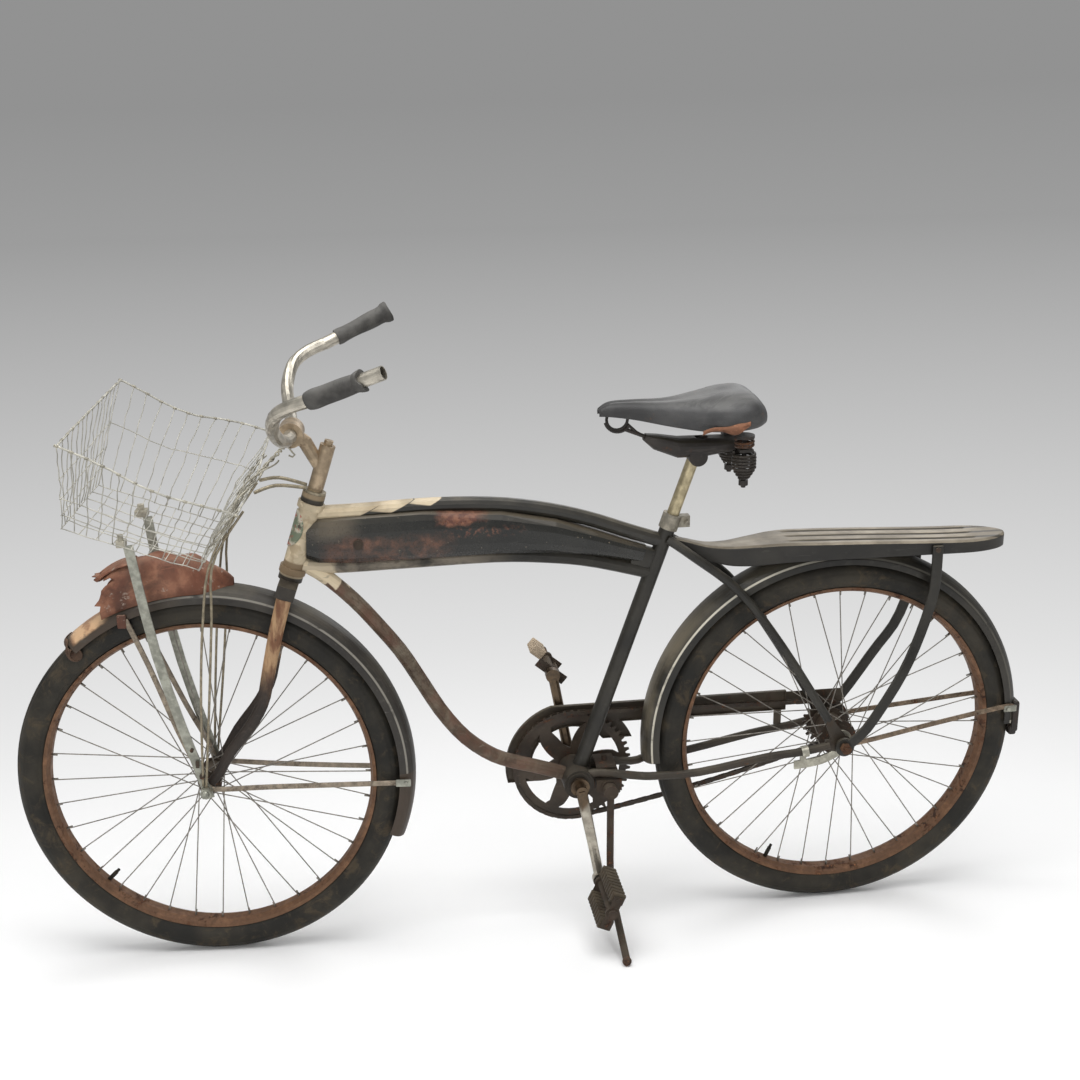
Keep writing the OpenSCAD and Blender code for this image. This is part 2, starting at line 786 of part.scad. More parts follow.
module rear_axle() {
    end = leg_y + 12;
    color("peru")
        parked()
            union() {
                across(rear_hub, axle_d, 2 * end);
                for (s = [-1, 1])
                    translate(rear_hub + [0, s * (leg_y + 3.2), 0])
                        rotate([90, 0, 0])
                            cylinder(d = 20, h = 10, center = true, $fn = 6);
                // Cones: the left one runs from the hub to the brake arm, then to the dropout
                across(rear_hub + [0, (hub_end + brake_y - 2) / 2, 0], 20, brake_y - 2 - hub_end - 0.6);
                across(rear_hub + [0, (brake_y + 2 + drop_in) / 2, 0], 20, drop_in - brake_y - 2.6);
                across(rear_hub + [0, -(driver_end + drop_in) / 2, 0], 18, drop_in - driver_end - 0.6);
            }
}

// ---- Stand ----

pivot = bb + [-55, 46, -12];
foot_d = stand_d + 3;
foot_r = foot_d / 2;
foot_x = pivot.x + 6;
stand_foot = [foot_x, stand_reach,
    ((foot_r - lift + foot_x * sin(pitch)) / cos(pitch) + stand_reach * sin(lean)) / cos(lean)];
pivot_d = 12;
module stand_bracket() {
    color("saddlebrown")
        parked()
            difference() {
                union() {
                    translate(pivot + [0, -46, 4.4])
                        cube([46, 64, 22], center = true);
                    translate(pivot + [4, -46, 38.8])
                        cube([36, 50, 4], center = true);
                    rod(pivot + [4, -46, 0], pivot + [4, -46, 50], 10);
                    across(pivot + [0, -24, 0], 30, 26);
                }
                across(pivot + [0, -15, 0], pivot_d + 2 * running, 60);
            }
}
module side_stand() {
    color("saddlebrown")
        parked()
            union() {
                across(pivot + [0, -16, 0], pivot_d, 42);
                across(pivot + [0, 0, 0], 26, 15);
                tube([pivot, pivot + [1, 3, -80], pivot + [2, 10, -150], pivot + [3, 34, -188],
                    [pivot.x + 4, stand_reach * 0.55, 67], stand_foot], stand_d, 20);
                translate(stand_foot)
                    sphere(d = foot_d);
            }
}

// ---- Fork ----

crown_z = 664;
blade_y = guard_half + 14;
// Point on the steering axis r away from the front mudguard's centre
function axis_from_guard(r) =
    let (d = unit(axis_at(head_high) - axis_at(tyre_r)), w = axis_at(tyre_r) - front_guard_centre)
    axis_at(tyre_r) + d * (sqrt(r * r - w * w + (w * d) * (w * d)) - w * d);
module fork() {
    color("darkslategray")
        turned()
            union() {
                rod(axis_at(crown_z + 6), axis_at(head_high + 24), steerer_d);
                rod(axis_from_guard(front_guard_r + 1), axis_at(crown_z + 10), 12);
                rod(axis_at(head_low - 12), axis_at(head_low - gap), cup_d - 4);
                rod(axis_at(head_high + gap), axis_at(head_high + 16), cup_d - 6);
                translate(axis_at(crown_z + 16))
                    rotate([0, head_angle - 90, 0])
                        cube([32, 2 * blade_y + 20, 22], center = true);
            }
}
tip_y = blade_y + 4;
module fork_blades() {
    c = axis_at(crown_z);
    path = smooth([axis_at(crown_z + 4.4) + [0, blade_y, 0], c + [18, blade_y, -66],
        c + [34, blade_y + 1, -137], c + [44, blade_y + 2, -178], front_hub + [-82, blade_y + 3, 115],
        front_hub + [-44, tip_y, 66], front_hub + [-20, tip_y, 26], front_hub + [-5, tip_y, 8]], 18);
    last = len(path) - 1;
    color("peru")
        turned()
            both_sides()
                difference() {
                    union() {
                        skin(path, [for (i = [0:last]) let (t = i / last)
                            [9 - 3 * t, 13 - 5 * t]]);
                        across(front_hub + [0, tip_y, 0], 26, 6);
                    }
                    across(front_hub + [0, tip_y, 0], axle_d + 2 * running, 20);
                }
}
clamp_at = [wheelbase - 170, 0, bar_height];
bar_skew = 2;        // the bars have slipped round in the headset, back to the left
stem_top = axis_at(bar_height - 22);
module stem() {
    color("peru")
        turned(bar_skew)
            difference() {
                union() {
                    rod(axis_at(head_high + 24.3), stem_top, 26);
                    rod(stem_top, stem_top + 8 * unit(stem_top - axis_at(head_high)), 15);
                    skin([axis_at(bar_height - 62), clamp_at - [22, 0, 16], clamp_at],
                        [[10, 11], [11, 12], [13, 13]], 12);
                    across(clamp_at, 42, 44);
                }
                across(clamp_at, bar_d + 2 * running, 60);
            }
}
// The bar runs out from its clamp, sweeps forward and up, then back to its straight ends
bar_tip = clamp_at + [-161, bar_reach, 151];
straight = clamp_at + [-48, bar_reach - 41, 103];
straight_len = norm(bar_tip - straight);
bar_dir = (bar_tip - straight) / straight_len;
module handlebar() {
    half = [clamp_at + [-1, 28, 1], clamp_at + [4, 70, 3], clamp_at + [10, 118, 18],
        clamp_at + [15, 160, 44], clamp_at + [6, 198, 74], clamp_at + [-18, 217, 92],
        straight + 3 * bar_dir];
    color("silver")
        turned(bar_skew)
            union() {
                across(clamp_at, bar_d, 60);
                both_sides() {
                    tube(half, bar_d - 0.6, 20, 12, [0, 0, 1]);
                    difference() {
                        rod(straight, bar_tip, bar_d);
                        rod(bar_tip - 100 * bar_dir, bar_tip + bar_dir, bar_d - 2 * bar_wall);
                    }
                }
            }
}
grip_d = 32;
module grip(from, long) {
    difference() {
        union() {
            rod(bar_tip - (from + long) * bar_dir, bar_tip - from * bar_dir, grip_d);
            rod(bar_tip - (from + 5) * bar_dir, bar_tip - from * bar_dir, grip_d + 6);
        }
        rod(bar_tip - 200 * bar_dir, bar_tip + 5 * bar_dir, bar_d + 2 * running);
    }
}
slipped = 34;        // how far the left grip has slid in from the bar's end
module left_grip() {
    color("dimgray")
        turned(bar_skew)
            grip(slipped, grip_len);
}
module right_grip() {
    color("dimgray")
        turned(bar_skew)
            mirror([0, 1, 0])
                grip(0, grip_len + 10);
}

front_guard_centre = front_hub + [-8, 0, 6];
front_guard_r = tyre_r + 13;
front_guard_from = 48;
front_guard_to = 201;
module front_fender() {
    color("darkslategray")
        turned()
            guard(front_guard_centre, front_guard_r, front_guard_from, front_guard_to);
}
module front_fender_braces() {
    out = guard_half + 2.5;
    y = tip_y + 6.2;
    color("saddlebrown")
        turned()
            both_sides()
                difference() {
                    union() {
                        flat([front_hub + [-8, y, 0], front_hub + [-34, y, -1],
                            front_hub + [-100, blade_y + 2, -3], front_hub + [-200, out + 6, -6],
                            front_hub + [-290, out + 1, -8],
                            front_hub + [-front_guard_r + 6, out, -8]], 4.4, 9);
                        flat([front_hub + [3, y, 8], front_hub + [14, y + 1.4, 40],
                            front_hub + [44, blade_y + 4, 110], front_hub + [85, out + 3, 220],
                            front_hub + [118, out, 302]], 4.4, 9);
                        across(front_hub + [0, y, 0], 20, 3);
                    }
                    across(front_hub + [0, y, 0], axle_d + 2 * running, 20);
                }
}
module fender_light() {
    at = front_guard_centre + [60, 0, front_guard_r];
    color("saddlebrown")
        turned()
            difference() {
                skin([at + [-118, 0, -2], at + [-90, 0, 4], at + [-40, 0, 10], at + [20, 0, 12],
                    at + [70, 0, 4], at + [108, 0, -12]],
                    [[5, 4], [20, 14], [28, 24], [31, 30], [30, 30], [28, 28]], 16, 2.2);
                across(front_guard_centre, 2 * (front_guard_r + gap), 90, $fn = 128);
            }
}
basket_top = [[1268, 987], [1143, 925], [1010, 866]];
basket_floor = [[1299, 817], [1195, 780], [1090, 742]];
basket_wall = 4;
function basket_shell(grow) = [
    for (c = [[basket_floor[0], floor_half, 1], [basket_floor[2], floor_half, -1],
        [basket_top[2], mouth_half, -1], [basket_top[0], mouth_half, 1]], s = [-1, 1])
        [c[0].x + c[2] * grow + wheelbase - 1117, s * (c[1] + grow), c[0].y]];
module basket_form(p) {
    polyhedron(points = p, faces = [[1, 3, 2, 0], [5, 7, 6, 4], [6, 7, 1, 0], [3, 5, 4, 2],
        [2, 4, 0], [4, 6, 0], [5, 3, 1], [7, 5, 1]]);
}
module basket() {
    color("lightgray")
        turned()
            difference() {
                basket_form(basket_shell(0));
                translate([0, 0, basket_wall])
                    basket_form(basket_shell(-basket_wall));
            }
}
strut_y = tip_y + 12;
wire_y = strut_y + 3.8;
module basket_struts() {
    floor_slope = (basket_floor[0].y - basket_floor[2].y) / (basket_floor[0].x - basket_floor[2].x);
    top = [1209 + wheelbase - 1117, 85, basket_floor[2].y + (1209 - basket_floor[2].x) * floor_slope - 6];
    color("silver")
        turned()
            both_sides()
                difference() {
                    union() {
                        strap([front_hub + [-5, strut_y, -14], front_hub + [8, strut_y, 30],
                            front_hub + [60, strut_y + 6, 230], top], 3, 16, 10);
                        across(front_hub + [0, strut_y, 0], 20, 3);
                    }
                    across(front_hub + [0, strut_y, 0], axle_d + 2 * running, 20);
                    basket_form(basket_shell(seam));
                }
}
module basket_stays() {
    base = axis_at(head_high + 18);
    shift = wheelbase - 1117;
    color("gray")
        turned()
            difference() {
                union() {
                    rod(axis_at(head_high + 16.3), axis_at(head_high + 20), 38);
                    both_sides() {
                        tube([base + [14, 10, 9], base + [60, 25, 18], [1008 + shift, 40, 850]], 6, 8, 8);
                        across(front_hub + [0, wire_y, 0], 18, 3);
                        for (x = [0, 14])
                            tube([front_hub + [x / 3, wire_y, 6 + x / 3], front_hub + [x - 20, 84, 178],
                                front_hub + [x - 34, 90, 318], [1074 + x / 3 + shift, 90, 748],
                                [1020 + x / 3 + shift, 90, 833 + 2 * x / 3]], 4.4, 14, 8);
                    }
                }
                rod(axis_at(head_high + 10), axis_at(head_high + 30), steerer_d + 2 * running);
                across(front_hub, axle_d + 2 * running, 300);
                basket_form(basket_shell(seam));
            }
}
module front_axle() {
    end = wire_y + 11;
    color("silver")
        turned()
            union() {
                across(front_hub, axle_d, 2 * end);
                for (s = [-1, 1]) {
                    translate(front_hub + [0, s * (wire_y + 7), 0])
                        rotate([90, 0, 0])
                            cylinder(d = 20, h = 9, center = true, $fn = 6);
                    translate(front_hub + [0, s * end, 0])
                        sphere(d = 14);
                    across(front_hub + [0, s * (hub_end + tip_y - 3) / 2, 0], 16,
                        tip_y - 3 - hub_end - 0.6);
                }
            }
}

// ---- Wheels, standing at the origin and turning about y ----

rim_wall = 1.6;
rim_hook_r = bead_r + 6;
rim_floor_r = bead_r - 1.6;
hub_flange_y = hub_w / 2 - 6;
hub_end = hub_w / 2 - 4;
driver_d = 34;
driver_end = drop_in - 2;   // outer end of the rear hub's driver, which carries the sprocket
module tyre() {
    rotate([90, 0, 0])
        rotate_extrude($fn = 128)
            intersection() {
                translate([ring_r, 0])
                    circle(d = tyre_w);
                translate([bead_r, -tyre_w])
                    square([tyre_w, 2 * tyre_w]);
            }
}
module rim() {
    edge = 20.5;
    profile = [[bead_r - 0.2, -8], [bead_r - 0.2, 8], [bead_r - 0.2, 14], [rim_hook_r, edge - rim_wall],
        [rim_hook_r, edge], [bead_r, edge - 1.5], [rim_floor_r, 15], [rim_floor_r - 3, 9],
        [rim_floor_r - 3, -9], [rim_floor_r, -15], [bead_r, 1.5 - edge], [rim_hook_r, -edge],
        [rim_hook_r, rim_wall - edge], [bead_r - 0.2, -14]];
    rotate([90, 0, 0])
        rotate_extrude($fn = 128)
            polygon(profile);
}
module spokes(flange_r) {
    for (k = [0:spoke_count - 1]) {
        s = k % 2 == 0 ? 1 : -1;
        twist = floor(k / 2) % 2 == 0 ? 62 : -62;
        lay = floor(k / 2) % 2 == 0 ? 2.4 : -2.4;
        a = 360 * k / spoke_count;
        b = a + twist;
        rod([flange_r * cos(b), s * (hub_flange_y + lay), flange_r * sin(b)],
            [(rim_floor_r - 3.2) * cos(a), s * 2, (rim_floor_r - 3.2) * sin(a)], 2);
    }
}
module hub_shell(barrel_d, flange_d, bore_d) {
    difference() {
        union() {
            across([0, 0, 0], barrel_d, 2 * hub_end);
            for (s = [-1, 1])
                across([0, s * hub_flange_y, 0], flange_d, 2);
        }
        across([0, 0, 0], bore_d, hub_w + 10);
    }
}
front_flange_r = 21;
rear_flange_r = 34;
module front_tyre() {
    color("dimgray")
        turned()
            translate(front_hub)
                tyre();
}
module front_rim() {
    color("sienna")
        turned()
            translate(front_hub)
                rim();
}
module front_spokes() {
    color("silver")
        turned()
            translate(front_hub)
                spokes(front_flange_r - 2);
}
module front_hub_shell() {
    color("gray")
        turned()
            translate(front_hub)
                hub_shell(32, 2 * front_flange_r, axle_d + 2 * running);
}
module rear_tyre() {
    color("dimgray")
        parked()
            translate(rear_hub)
                tyre();
}
module rear_rim() {
    color("sienna")
        parked()
            translate(rear_hub)
                rim();
}
module rear_spokes() {
    color("silver")
        parked()
            translate(rear_hub)
                spokes(rear_flange_r - 2);
}
module rear_hub_shell() {
    color("gray")
        parked()
            translate(rear_hub)
                difference() {
                    union() {
                        hub_shell(50, 2 * rear_flange_r, axle_d + 2 * running);
                        across([0, -(hub_end + driver_end) / 2, 0], driver_d, driver_end - hub_end + 0.5);
                    }
                    across([0, 0, 0], axle_d + 2 * running, 2 * driver_end + 10);
                }
}

head_tube();
top_tube();
tank_bar();
tank();
down_tube();
seat_tube();
bottom_bracket();
chain_stays();
seat_stays();
seat_clamp();
seat_post();
saddle();
saddle_frame();
saddle_springs();
rear_fender();
rear_fender_braces();
rack();
rack_legs();
chain_guard();
chain();
brake_arm();
rear_axle();
stand_bracket();
fork();
fork_blades();
stem();
handlebar();
left_grip();
right_grip();
front_fender();
front_fender_braces();
fender_light();
basket();
basket_struts();
basket_stays();
front_axle();
front_tyre();
front_rim();
front_spokes();
front_hub_shell();  // front_hub
rear_tyre();
rear_rim();
rear_spokes();
rear_hub_shell();  // rear_hub
crank();
chainring();
left_pedal();
right_pedal();
rear_sprocket();
side_stand();
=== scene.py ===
# %% [markdown]
# # A rusty balloon-tyre bicycle
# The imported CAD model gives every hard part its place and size. This script paints those parts, and
# swaps the plain ones (basket, tyres, chain, saddle, carrier, lamp, grips, pedals) for detailed pieces.
# The model is in metres. The bicycle was drawn upright in millimetres, so three matrices place new
# pieces: `parked` leans them with the frame, `turned` also steers them with the fork, and `barred`
# adds the two degrees by which the handlebar is out of line with the fork.

# %% load the frame
import bpy
import bmesh
import math
import random
from mathutils import Matrix, Vector


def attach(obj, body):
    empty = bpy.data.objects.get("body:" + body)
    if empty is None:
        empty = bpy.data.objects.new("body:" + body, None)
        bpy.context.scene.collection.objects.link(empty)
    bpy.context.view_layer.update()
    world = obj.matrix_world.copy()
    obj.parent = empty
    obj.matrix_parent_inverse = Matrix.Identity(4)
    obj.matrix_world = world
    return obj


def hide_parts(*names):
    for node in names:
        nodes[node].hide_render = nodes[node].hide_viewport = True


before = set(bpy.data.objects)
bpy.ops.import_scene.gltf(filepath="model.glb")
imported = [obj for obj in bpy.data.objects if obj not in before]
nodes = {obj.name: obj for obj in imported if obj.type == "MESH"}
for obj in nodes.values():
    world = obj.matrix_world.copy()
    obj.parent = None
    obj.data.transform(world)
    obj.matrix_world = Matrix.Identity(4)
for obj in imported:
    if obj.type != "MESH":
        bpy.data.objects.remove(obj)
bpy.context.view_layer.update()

# %% [markdown]
# ## Where things are
# Lengths below are in millimetres on the upright bicycle: x forward from the rear hub, y to the
# rider's left, z up from the ground. `spot` turns such a point into metres in the model.

# %% places
LEAN, STEER, PITCH = math.radians(8), math.radians(6.3), math.radians(-0.04092)
BAR_OUT_OF_LINE, HEAD_ANGLE, SEAT_ANGLE = math.radians(2), math.radians(72), math.radians(70.8)
REAR_HUB, FRONT_HUB, CRANK = Vector((0, 0, 333)), Vector((1117, 0, 333)), Vector((476, 0, 280))
HEAD_WAY = Vector((-math.cos(HEAD_ANGLE), 0, math.sin(HEAD_ANGLE)))
HEAD_FOOT_X = 1078.096                               # where the steering axis is level with the hubs
FRONT_GUARD, REAR_GUARD = (1109, 339, 346), (8, 343, 350)    # centre x, centre z and crown radius
MM = Matrix.Scale(0.001, 4)


def axis_at(z):
    return Vector((HEAD_FOOT_X - (z - REAR_HUB.z) / math.tan(HEAD_ANGLE), 0, z))


def about_steering(angle):
    pivot = Matrix.Translation(axis_at(REAR_HUB.z))
    return pivot @ Matrix.Rotation(angle, 4, HEAD_WAY) @ pivot.inverted()


parked = (Matrix.Translation((-0.55284, -0.143, 0.000263)) @ Matrix.Rotation(PITCH, 4, "Y")
          @ Matrix.Rotation(-LEAN, 4, "X") @ MM)
turned = parked @ about_steering(-STEER)
barred = parked @ about_steering(BAR_OUT_OF_LINE - STEER)
PLACES = {"frame": parked, "fork": turned, "bars": barred}


def spot(p, place=parked):
    return place @ Vector(p)


print("front hub at", [round(v, 4) for v in spot(FRONT_HUB, turned)])

# %% [markdown]
# ## Camera
# The camera looks at the bicycle's left side from a little above and ahead of its middle.

# %% camera
CAMERA, YAW, TILT, ROLL = Vector((0.3635, 2.6932, 1.25886)), 0.13781, 0.19067, 0.02988
cam = bpy.data.objects.new("camera", bpy.data.cameras.new("camera"))
bpy.context.scene.collection.objects.link(cam)
bpy.context.scene.camera = cam
ahead = Vector((-math.sin(YAW) * math.cos(TILT), -math.cos(YAW) * math.cos(TILT), -math.sin(TILT)))
right = Vector((-math.cos(YAW), math.sin(YAW), 0))
down = ahead.cross(right)
right, down = (right * math.cos(ROLL) + down * math.sin(ROLL),
               down * math.cos(ROLL) - right * math.sin(ROLL))
turn = Matrix((right, -down, -ahead)).transposed().to_4x4()
cam.matrix_world = Matrix.Translation(CAMERA) @ turn
cam.data.sensor_width = 36
cam.data.lens = 54.902
cam.data.clip_end = 1000
print("camera at", [round(v, 3) for v in cam.location])

# %% [markdown]
# ## Shader arithmetic
# `Value` wraps a socket, so that masks can be written as sums and products. `Finish` is one material;
# its `add` makes any node from its type, its settings and what goes into its sockets. `aged` and
# `bare` are the two families of finish: old enamel, and plated or bare steel.

# %% shader helpers


def operator(kind, swapped=False):
    """A method of Value that makes one Math node"""
    def method(self, other=0.0):
        return self.maths(kind, other, self) if swapped else self.maths(kind, self, other)
    return method


class Value:
    def __init__(self, finish, socket):
        self.finish, self.socket = finish, socket

    def maths(self, kind, a, b=0.0, clamp=False):
        return self.finish.add("Math", {"operation": kind, "use_clamp": clamp}, a, b)

    def held(self):
        """The value, kept from 0 to 1"""
        return self.maths("ADD", self, 0.0, True)

    __add__ = __radd__ = operator("ADD")
    __mul__ = __rmul__ = operator("MULTIPLY")
    __sub__, __rsub__ = operator("SUBTRACT"), operator("SUBTRACT", True)
    __truediv__, __rtruediv__ = operator("DIVIDE"), operator("DIVIDE", True)
    __mod__, __abs__ = operator("FLOORED_MODULO"), operator("ABSOLUTE")
    above, below = operator("MAXIMUM"), operator("MINIMUM")


class Finish:
    def __init__(self, name):
        self.material = bpy.data.materials.new(name)
        self.material.use_nodes = True
        self.tree = self.material.node_tree
        self.tree.nodes.clear()
        self.output = self.tree.nodes.new("ShaderNodeOutputMaterial")

    def add(self, kind, settings=None, *values, out=0, **named):
        node = self.tree.nodes.new("ShaderNode" + kind)
        for key, setting in (settings or {}).items():
            setattr(node, key, setting)
        sockets = list(zip([s for s in node.inputs if s.enabled], values))
        sockets += [(node.inputs[k.replace("_", " ")], v) for k, v in named.items()]
        for socket, value in sockets:
            self.feed(socket, value)
        return Value(self, node.outputs[out])

    def feed(self, socket, value):
        if isinstance(value, Value):
            self.tree.links.new(value.socket, socket)
        elif value is not None:
            socket.default_value = value

    def parts(self, vector):
        """The x, y and z of a vector"""
        return [Value(self, end) for end in self.add("SeparateXYZ", {}, vector).socket.node.outputs]

    def where(self):
        return self.add("TexCoord", {}, out="Object")

    def upright(self, place="frame"):
        """x, y and z in millimetres on the upright bicycle"""
        back = PLACES[place].inverted()
        euler, shift = back.to_euler("XYZ"), back.to_translation()
        point = self.add("Mapping", {"vector_type": "POINT"}, self.where(), tuple(shift),
                         tuple(euler), (1000.0, 1000.0, 1000.0))
        return self.parts(point)

    def noise(self, scale, detail=4.0, rough=0.55, bend=0.0, vector=None):
        return self.add("TexNoise", {}, Vector=vector or self.where(), Scale=scale, Detail=detail,
                        Roughness=rough, Distortion=bend)

    def cells(self, scale, feature="F1"):
        return self.add("TexVoronoi", {"feature": feature}, Vector=self.where(), Scale=scale)

    def stretched(self, size):
        """Object coordinates scaled along each axis, for streaks"""
        return self.add("Mapping", {"vector_type": "POINT"}, self.where(), None, None, size)

    def ease(self, value, low, high):
        """0 below low, 1 above high, smooth between"""
        return self.add("MapRange", {"interpolation_type": "SMOOTHSTEP"}, Value=value, From_Min=low,
                        From_Max=high)

    def spots(self, low, high, scale, detail=4.0, rough=0.55, bend=0.0, vector=None):
        """A patchy mask: 0 where the noise is below low, 1 above high"""
        return self.ease(self.noise(scale, detail, rough, bend, vector), low, high)

    def mix(self, share, a, b):
        """Colour a where share is 0, colour b where it is 1"""
        a, b = [c if isinstance(c, Value) else (*c, 1.0) for c in (a, b)]
        node = self.add("Mix", {"data_type": "RGBA"}).socket.node
        for k, value in ((0, share), (6, a), (7, b)):
            self.feed(node.inputs[k], value)
        return Value(self, node.outputs[2])

    def facing_up(self):
        return self.parts(self.add("NewGeometry", {}, out="Normal"))[2]

    def finish(self, colour, rough, metal=0.0, height=None, depth=0.0006, **constant):
        normal = None
        if height is not None:
            normal = self.add("Bump", {}, Strength=0.6, Distance=depth, Height=height)
        shader = self.add("BsdfPrincipled", {}, Base_Color=colour, Roughness=rough, Metallic=metal,
                          Normal=normal, **constant)
        self.tree.links.new(shader.socket, self.output.inputs[0])
        return self.material


RUST_DARK, RUST, RUST_BRIGHT = (0.035, 0.018, 0.011), (0.11, 0.048, 0.024), (0.3, 0.13, 0.055)


def rust_colour(f, scale=60):
    """Mottled rust: dark brown, red brown and some bright orange"""
    base = f.mix(f.spots(0.38, 0.62, scale, 6), RUST_DARK, RUST)
    return f.mix(f.spots(0.55, 0.75, scale * 2.3, 5), base, RUST_BRIGHT)


def aged(name, paint, rust=0.3, size=22, gloss=0.42, dust=0.35, under=None, regions=None, place="frame",
         dust_colour=(0.155, 0.135, 0.098), bump=0.0005, spec=0.4):
    """Old enamel: uneven paint, chips and creeping rust, and dust on what faces up. rust and dust are
    shares, size is how fine the patches are, gloss the sound paint's roughness, under what a scratch
    shows, and regions a function that paints the piece's own pattern"""
    f = Finish(name)
    fine, broad = f.noise(260, 5), f.noise(size * 0.4, 3)
    dark = tuple(c * 0.5 for c in paint)
    pale = tuple(min(1.0, c * 1.5 + 0.008) for c in paint)
    colour = f.mix(f.ease(broad, 0.35, 0.7), dark, paint)
    colour = f.mix(f.spots(0.55, 0.8, size * 3, 6) * 0.6, colour, pale)
    extra = 0.0
    if regions:
        colour, extra = regions(f, colour, f.upright(place))
    scratch = f.spots(0.66, 0.72, 90, 3, vector=f.stretched((0.15, 1, 1))) * 0.5
    colour = f.mix(scratch, colour, under or pale)
    patchy = f.noise(size, 9, 0.62, 0.4) * 0.75 + f.noise(size * 6, 4) * 0.25 + extra
    edge = 0.78 - 0.38 * rust
    worn = f.ease(patchy, edge, edge + 0.07)
    halo = f.ease(patchy, edge - 0.07, edge)
    colour = f.mix(halo * 0.5, colour, RUST_DARK)
    colour = f.mix(worn, colour, rust_colour(f, size * 4))
    settled = f.ease(f.facing_up(), 0.1, 0.9) * f.spots(0.3, 0.65, 14, 5) * dust
    film = f.spots(0.4, 0.75, 9, 4) * (dust * 0.25)
    colour = f.mix(settled.above(film), colour, dust_colour)
    rough = gloss + worn * (0.88 - gloss) + settled * 0.3 + fine * 0.08
    return f.finish(colour, rough.held(), 0.0, fine * 0.25 - worn * 0.6 + patchy * 0.5, bump,
                    Specular_IOR_Level=spec)


def bare(name, steel, rust=0.4, size=30, metal=0.9, gloss=0.35, grime=(0.06, 0.045, 0.03), regions=None,
         place="frame", bump=0.0005):
    """Plated or bare steel, pitted and rusting. metal is how metallic the sound steel is and grime the
    colour of the stains round the rust; the rest is as in aged"""
    f = Finish(name)
    dull = tuple(c * 0.6 for c in steel)
    colour = f.mix(f.spots(0.35, 0.7, size * 2, 6), dull, steel)
    extra = 0.0
    if regions:
        colour, extra = regions(f, colour, f.upright(place))
    patchy = f.noise(size, 8, 0.65, 0.5) * 0.7 + f.noise(size * 7, 5) * 0.3 + extra
    edge = 0.76 - 0.4 * rust
    worn = f.ease(patchy, edge, edge + 0.06)
    stain = f.ease(patchy, edge - 0.12, edge) * 0.55
    colour = f.mix(stain, colour, grime)
    colour = f.mix(worn, colour, rust_colour(f, size * 3))
    pits = f.ease(f.cells(420), 0.0, 0.35)
    rough = gloss + stain * 0.25 + worn * (0.85 - gloss) + f.noise(180, 4) * 0.12
    shine = ((1.0 - worn) * (1.0 - stain * 0.6) * metal).held()
    return f.finish(colour, rough.held(), shine, pits * 0.2 - worn * 0.5 + patchy * 0.6, bump)


def wear(names, material):
    """Gives one or more CAD nodes their material"""
    for name in names.split():
        mesh = nodes[name].data
        mesh.materials.clear()
        mesh.materials.append(material)
        mesh.polygons.foreach_set("material_index", [0] * len(mesh.polygons))


# %% [markdown]
# ## Floor and light
# The bicycle stands on a paper roll with painted light: its brightness is painted white beside the bicycle
# and falling to grey with distance, which the camera sees partly as a glow. A large soft lamp
# overhead and two weaker ones, in front and behind, give an even light.

# %% floor and light


def lamp(name, place, size, power, tint=(1, 1, 1), target=(0, 0, 0.5)):
    data = bpy.data.lights.new(name, "AREA")
    data.shape, data.size, data.size_y = "RECTANGLE", size[0], size[1]
    data.energy, data.color = power, tint
    ob = bpy.data.objects.new(name, data)
    bpy.context.scene.collection.objects.link(ob)
    way = Vector(target) - Vector(place)
    ob.matrix_world = Matrix.Translation(place) @ way.to_track_quat("-Z", "Y").to_matrix().to_4x4()


lamp("overhead", (0.3, 0.7, 3.4), (3.6, 2.2), 92)
lamp("front", (1.6, 4.0, 1.7), (2.2, 1.6), 40)
lamp("back", (-1.6, -2.8, 2.6), (2.4, 1.6), 30)

bm = bmesh.new()
bmesh.ops.create_grid(bm, x_segments=1, y_segments=1, size=400)
mesh = bpy.data.meshes.new("floor")
bm.to_mesh(mesh)
bm.free()
floor = bpy.data.objects.new("floor", mesh)
bpy.context.scene.collection.objects.link(floor)

# Painted light fall-off: the paper is painted white beside the bicycle, falling to grey in proportion to
# one over the distance
f = Finish("paper_floor")
floor_x, floor_y, _ = f.parts(f.where())
far_x, far_y = floor_x - CAMERA.x, floor_y - CAMERA.y
distance = f.add("Math", {"operation": "SQRT"}, far_x * far_x + far_y * far_y)
shade = (0.328 + 2.09 / distance).below(1.0)
# The lamps and the shadow don't reach the far paper, nor the strip at the camera's foot; there the camera
# sees the painted brightness as a glow
near = f.ease(distance, 5.2, 2.9) * f.ease(distance, 1.7, 2.2)
# A painted pool of light: the glow is a little brighter near the bicycle
bright = (shade * (1.0 + near * 0.12)).below(1.0)
# The glow: the painted brightness, emitted, though the paper is no lamp
glow = f.add("Emission", {}, f.add("CombineXYZ", {}, bright, bright, bright))
paper = f.add("BsdfDiffuse", {}, f.add("CombineXYZ", {}, shade, shade, shade))
lit = f.add("MixShader", {}, 1.0 - near, paper, glow)
plain = f.add("BsdfDiffuse", {}, (0.8, 0.8, 0.8, 1.0))
rays = f.add("LightPath", {}).socket.node
seen = Value(f, rays.outputs["Is Camera Ray"]) + Value(f, rays.outputs["Is Glossy Ray"])
f.tree.links.new(f.add("MixShader", {}, seen.held(), plain, lit).socket, f.output.inputs[0])
mesh.materials.append(f.material)

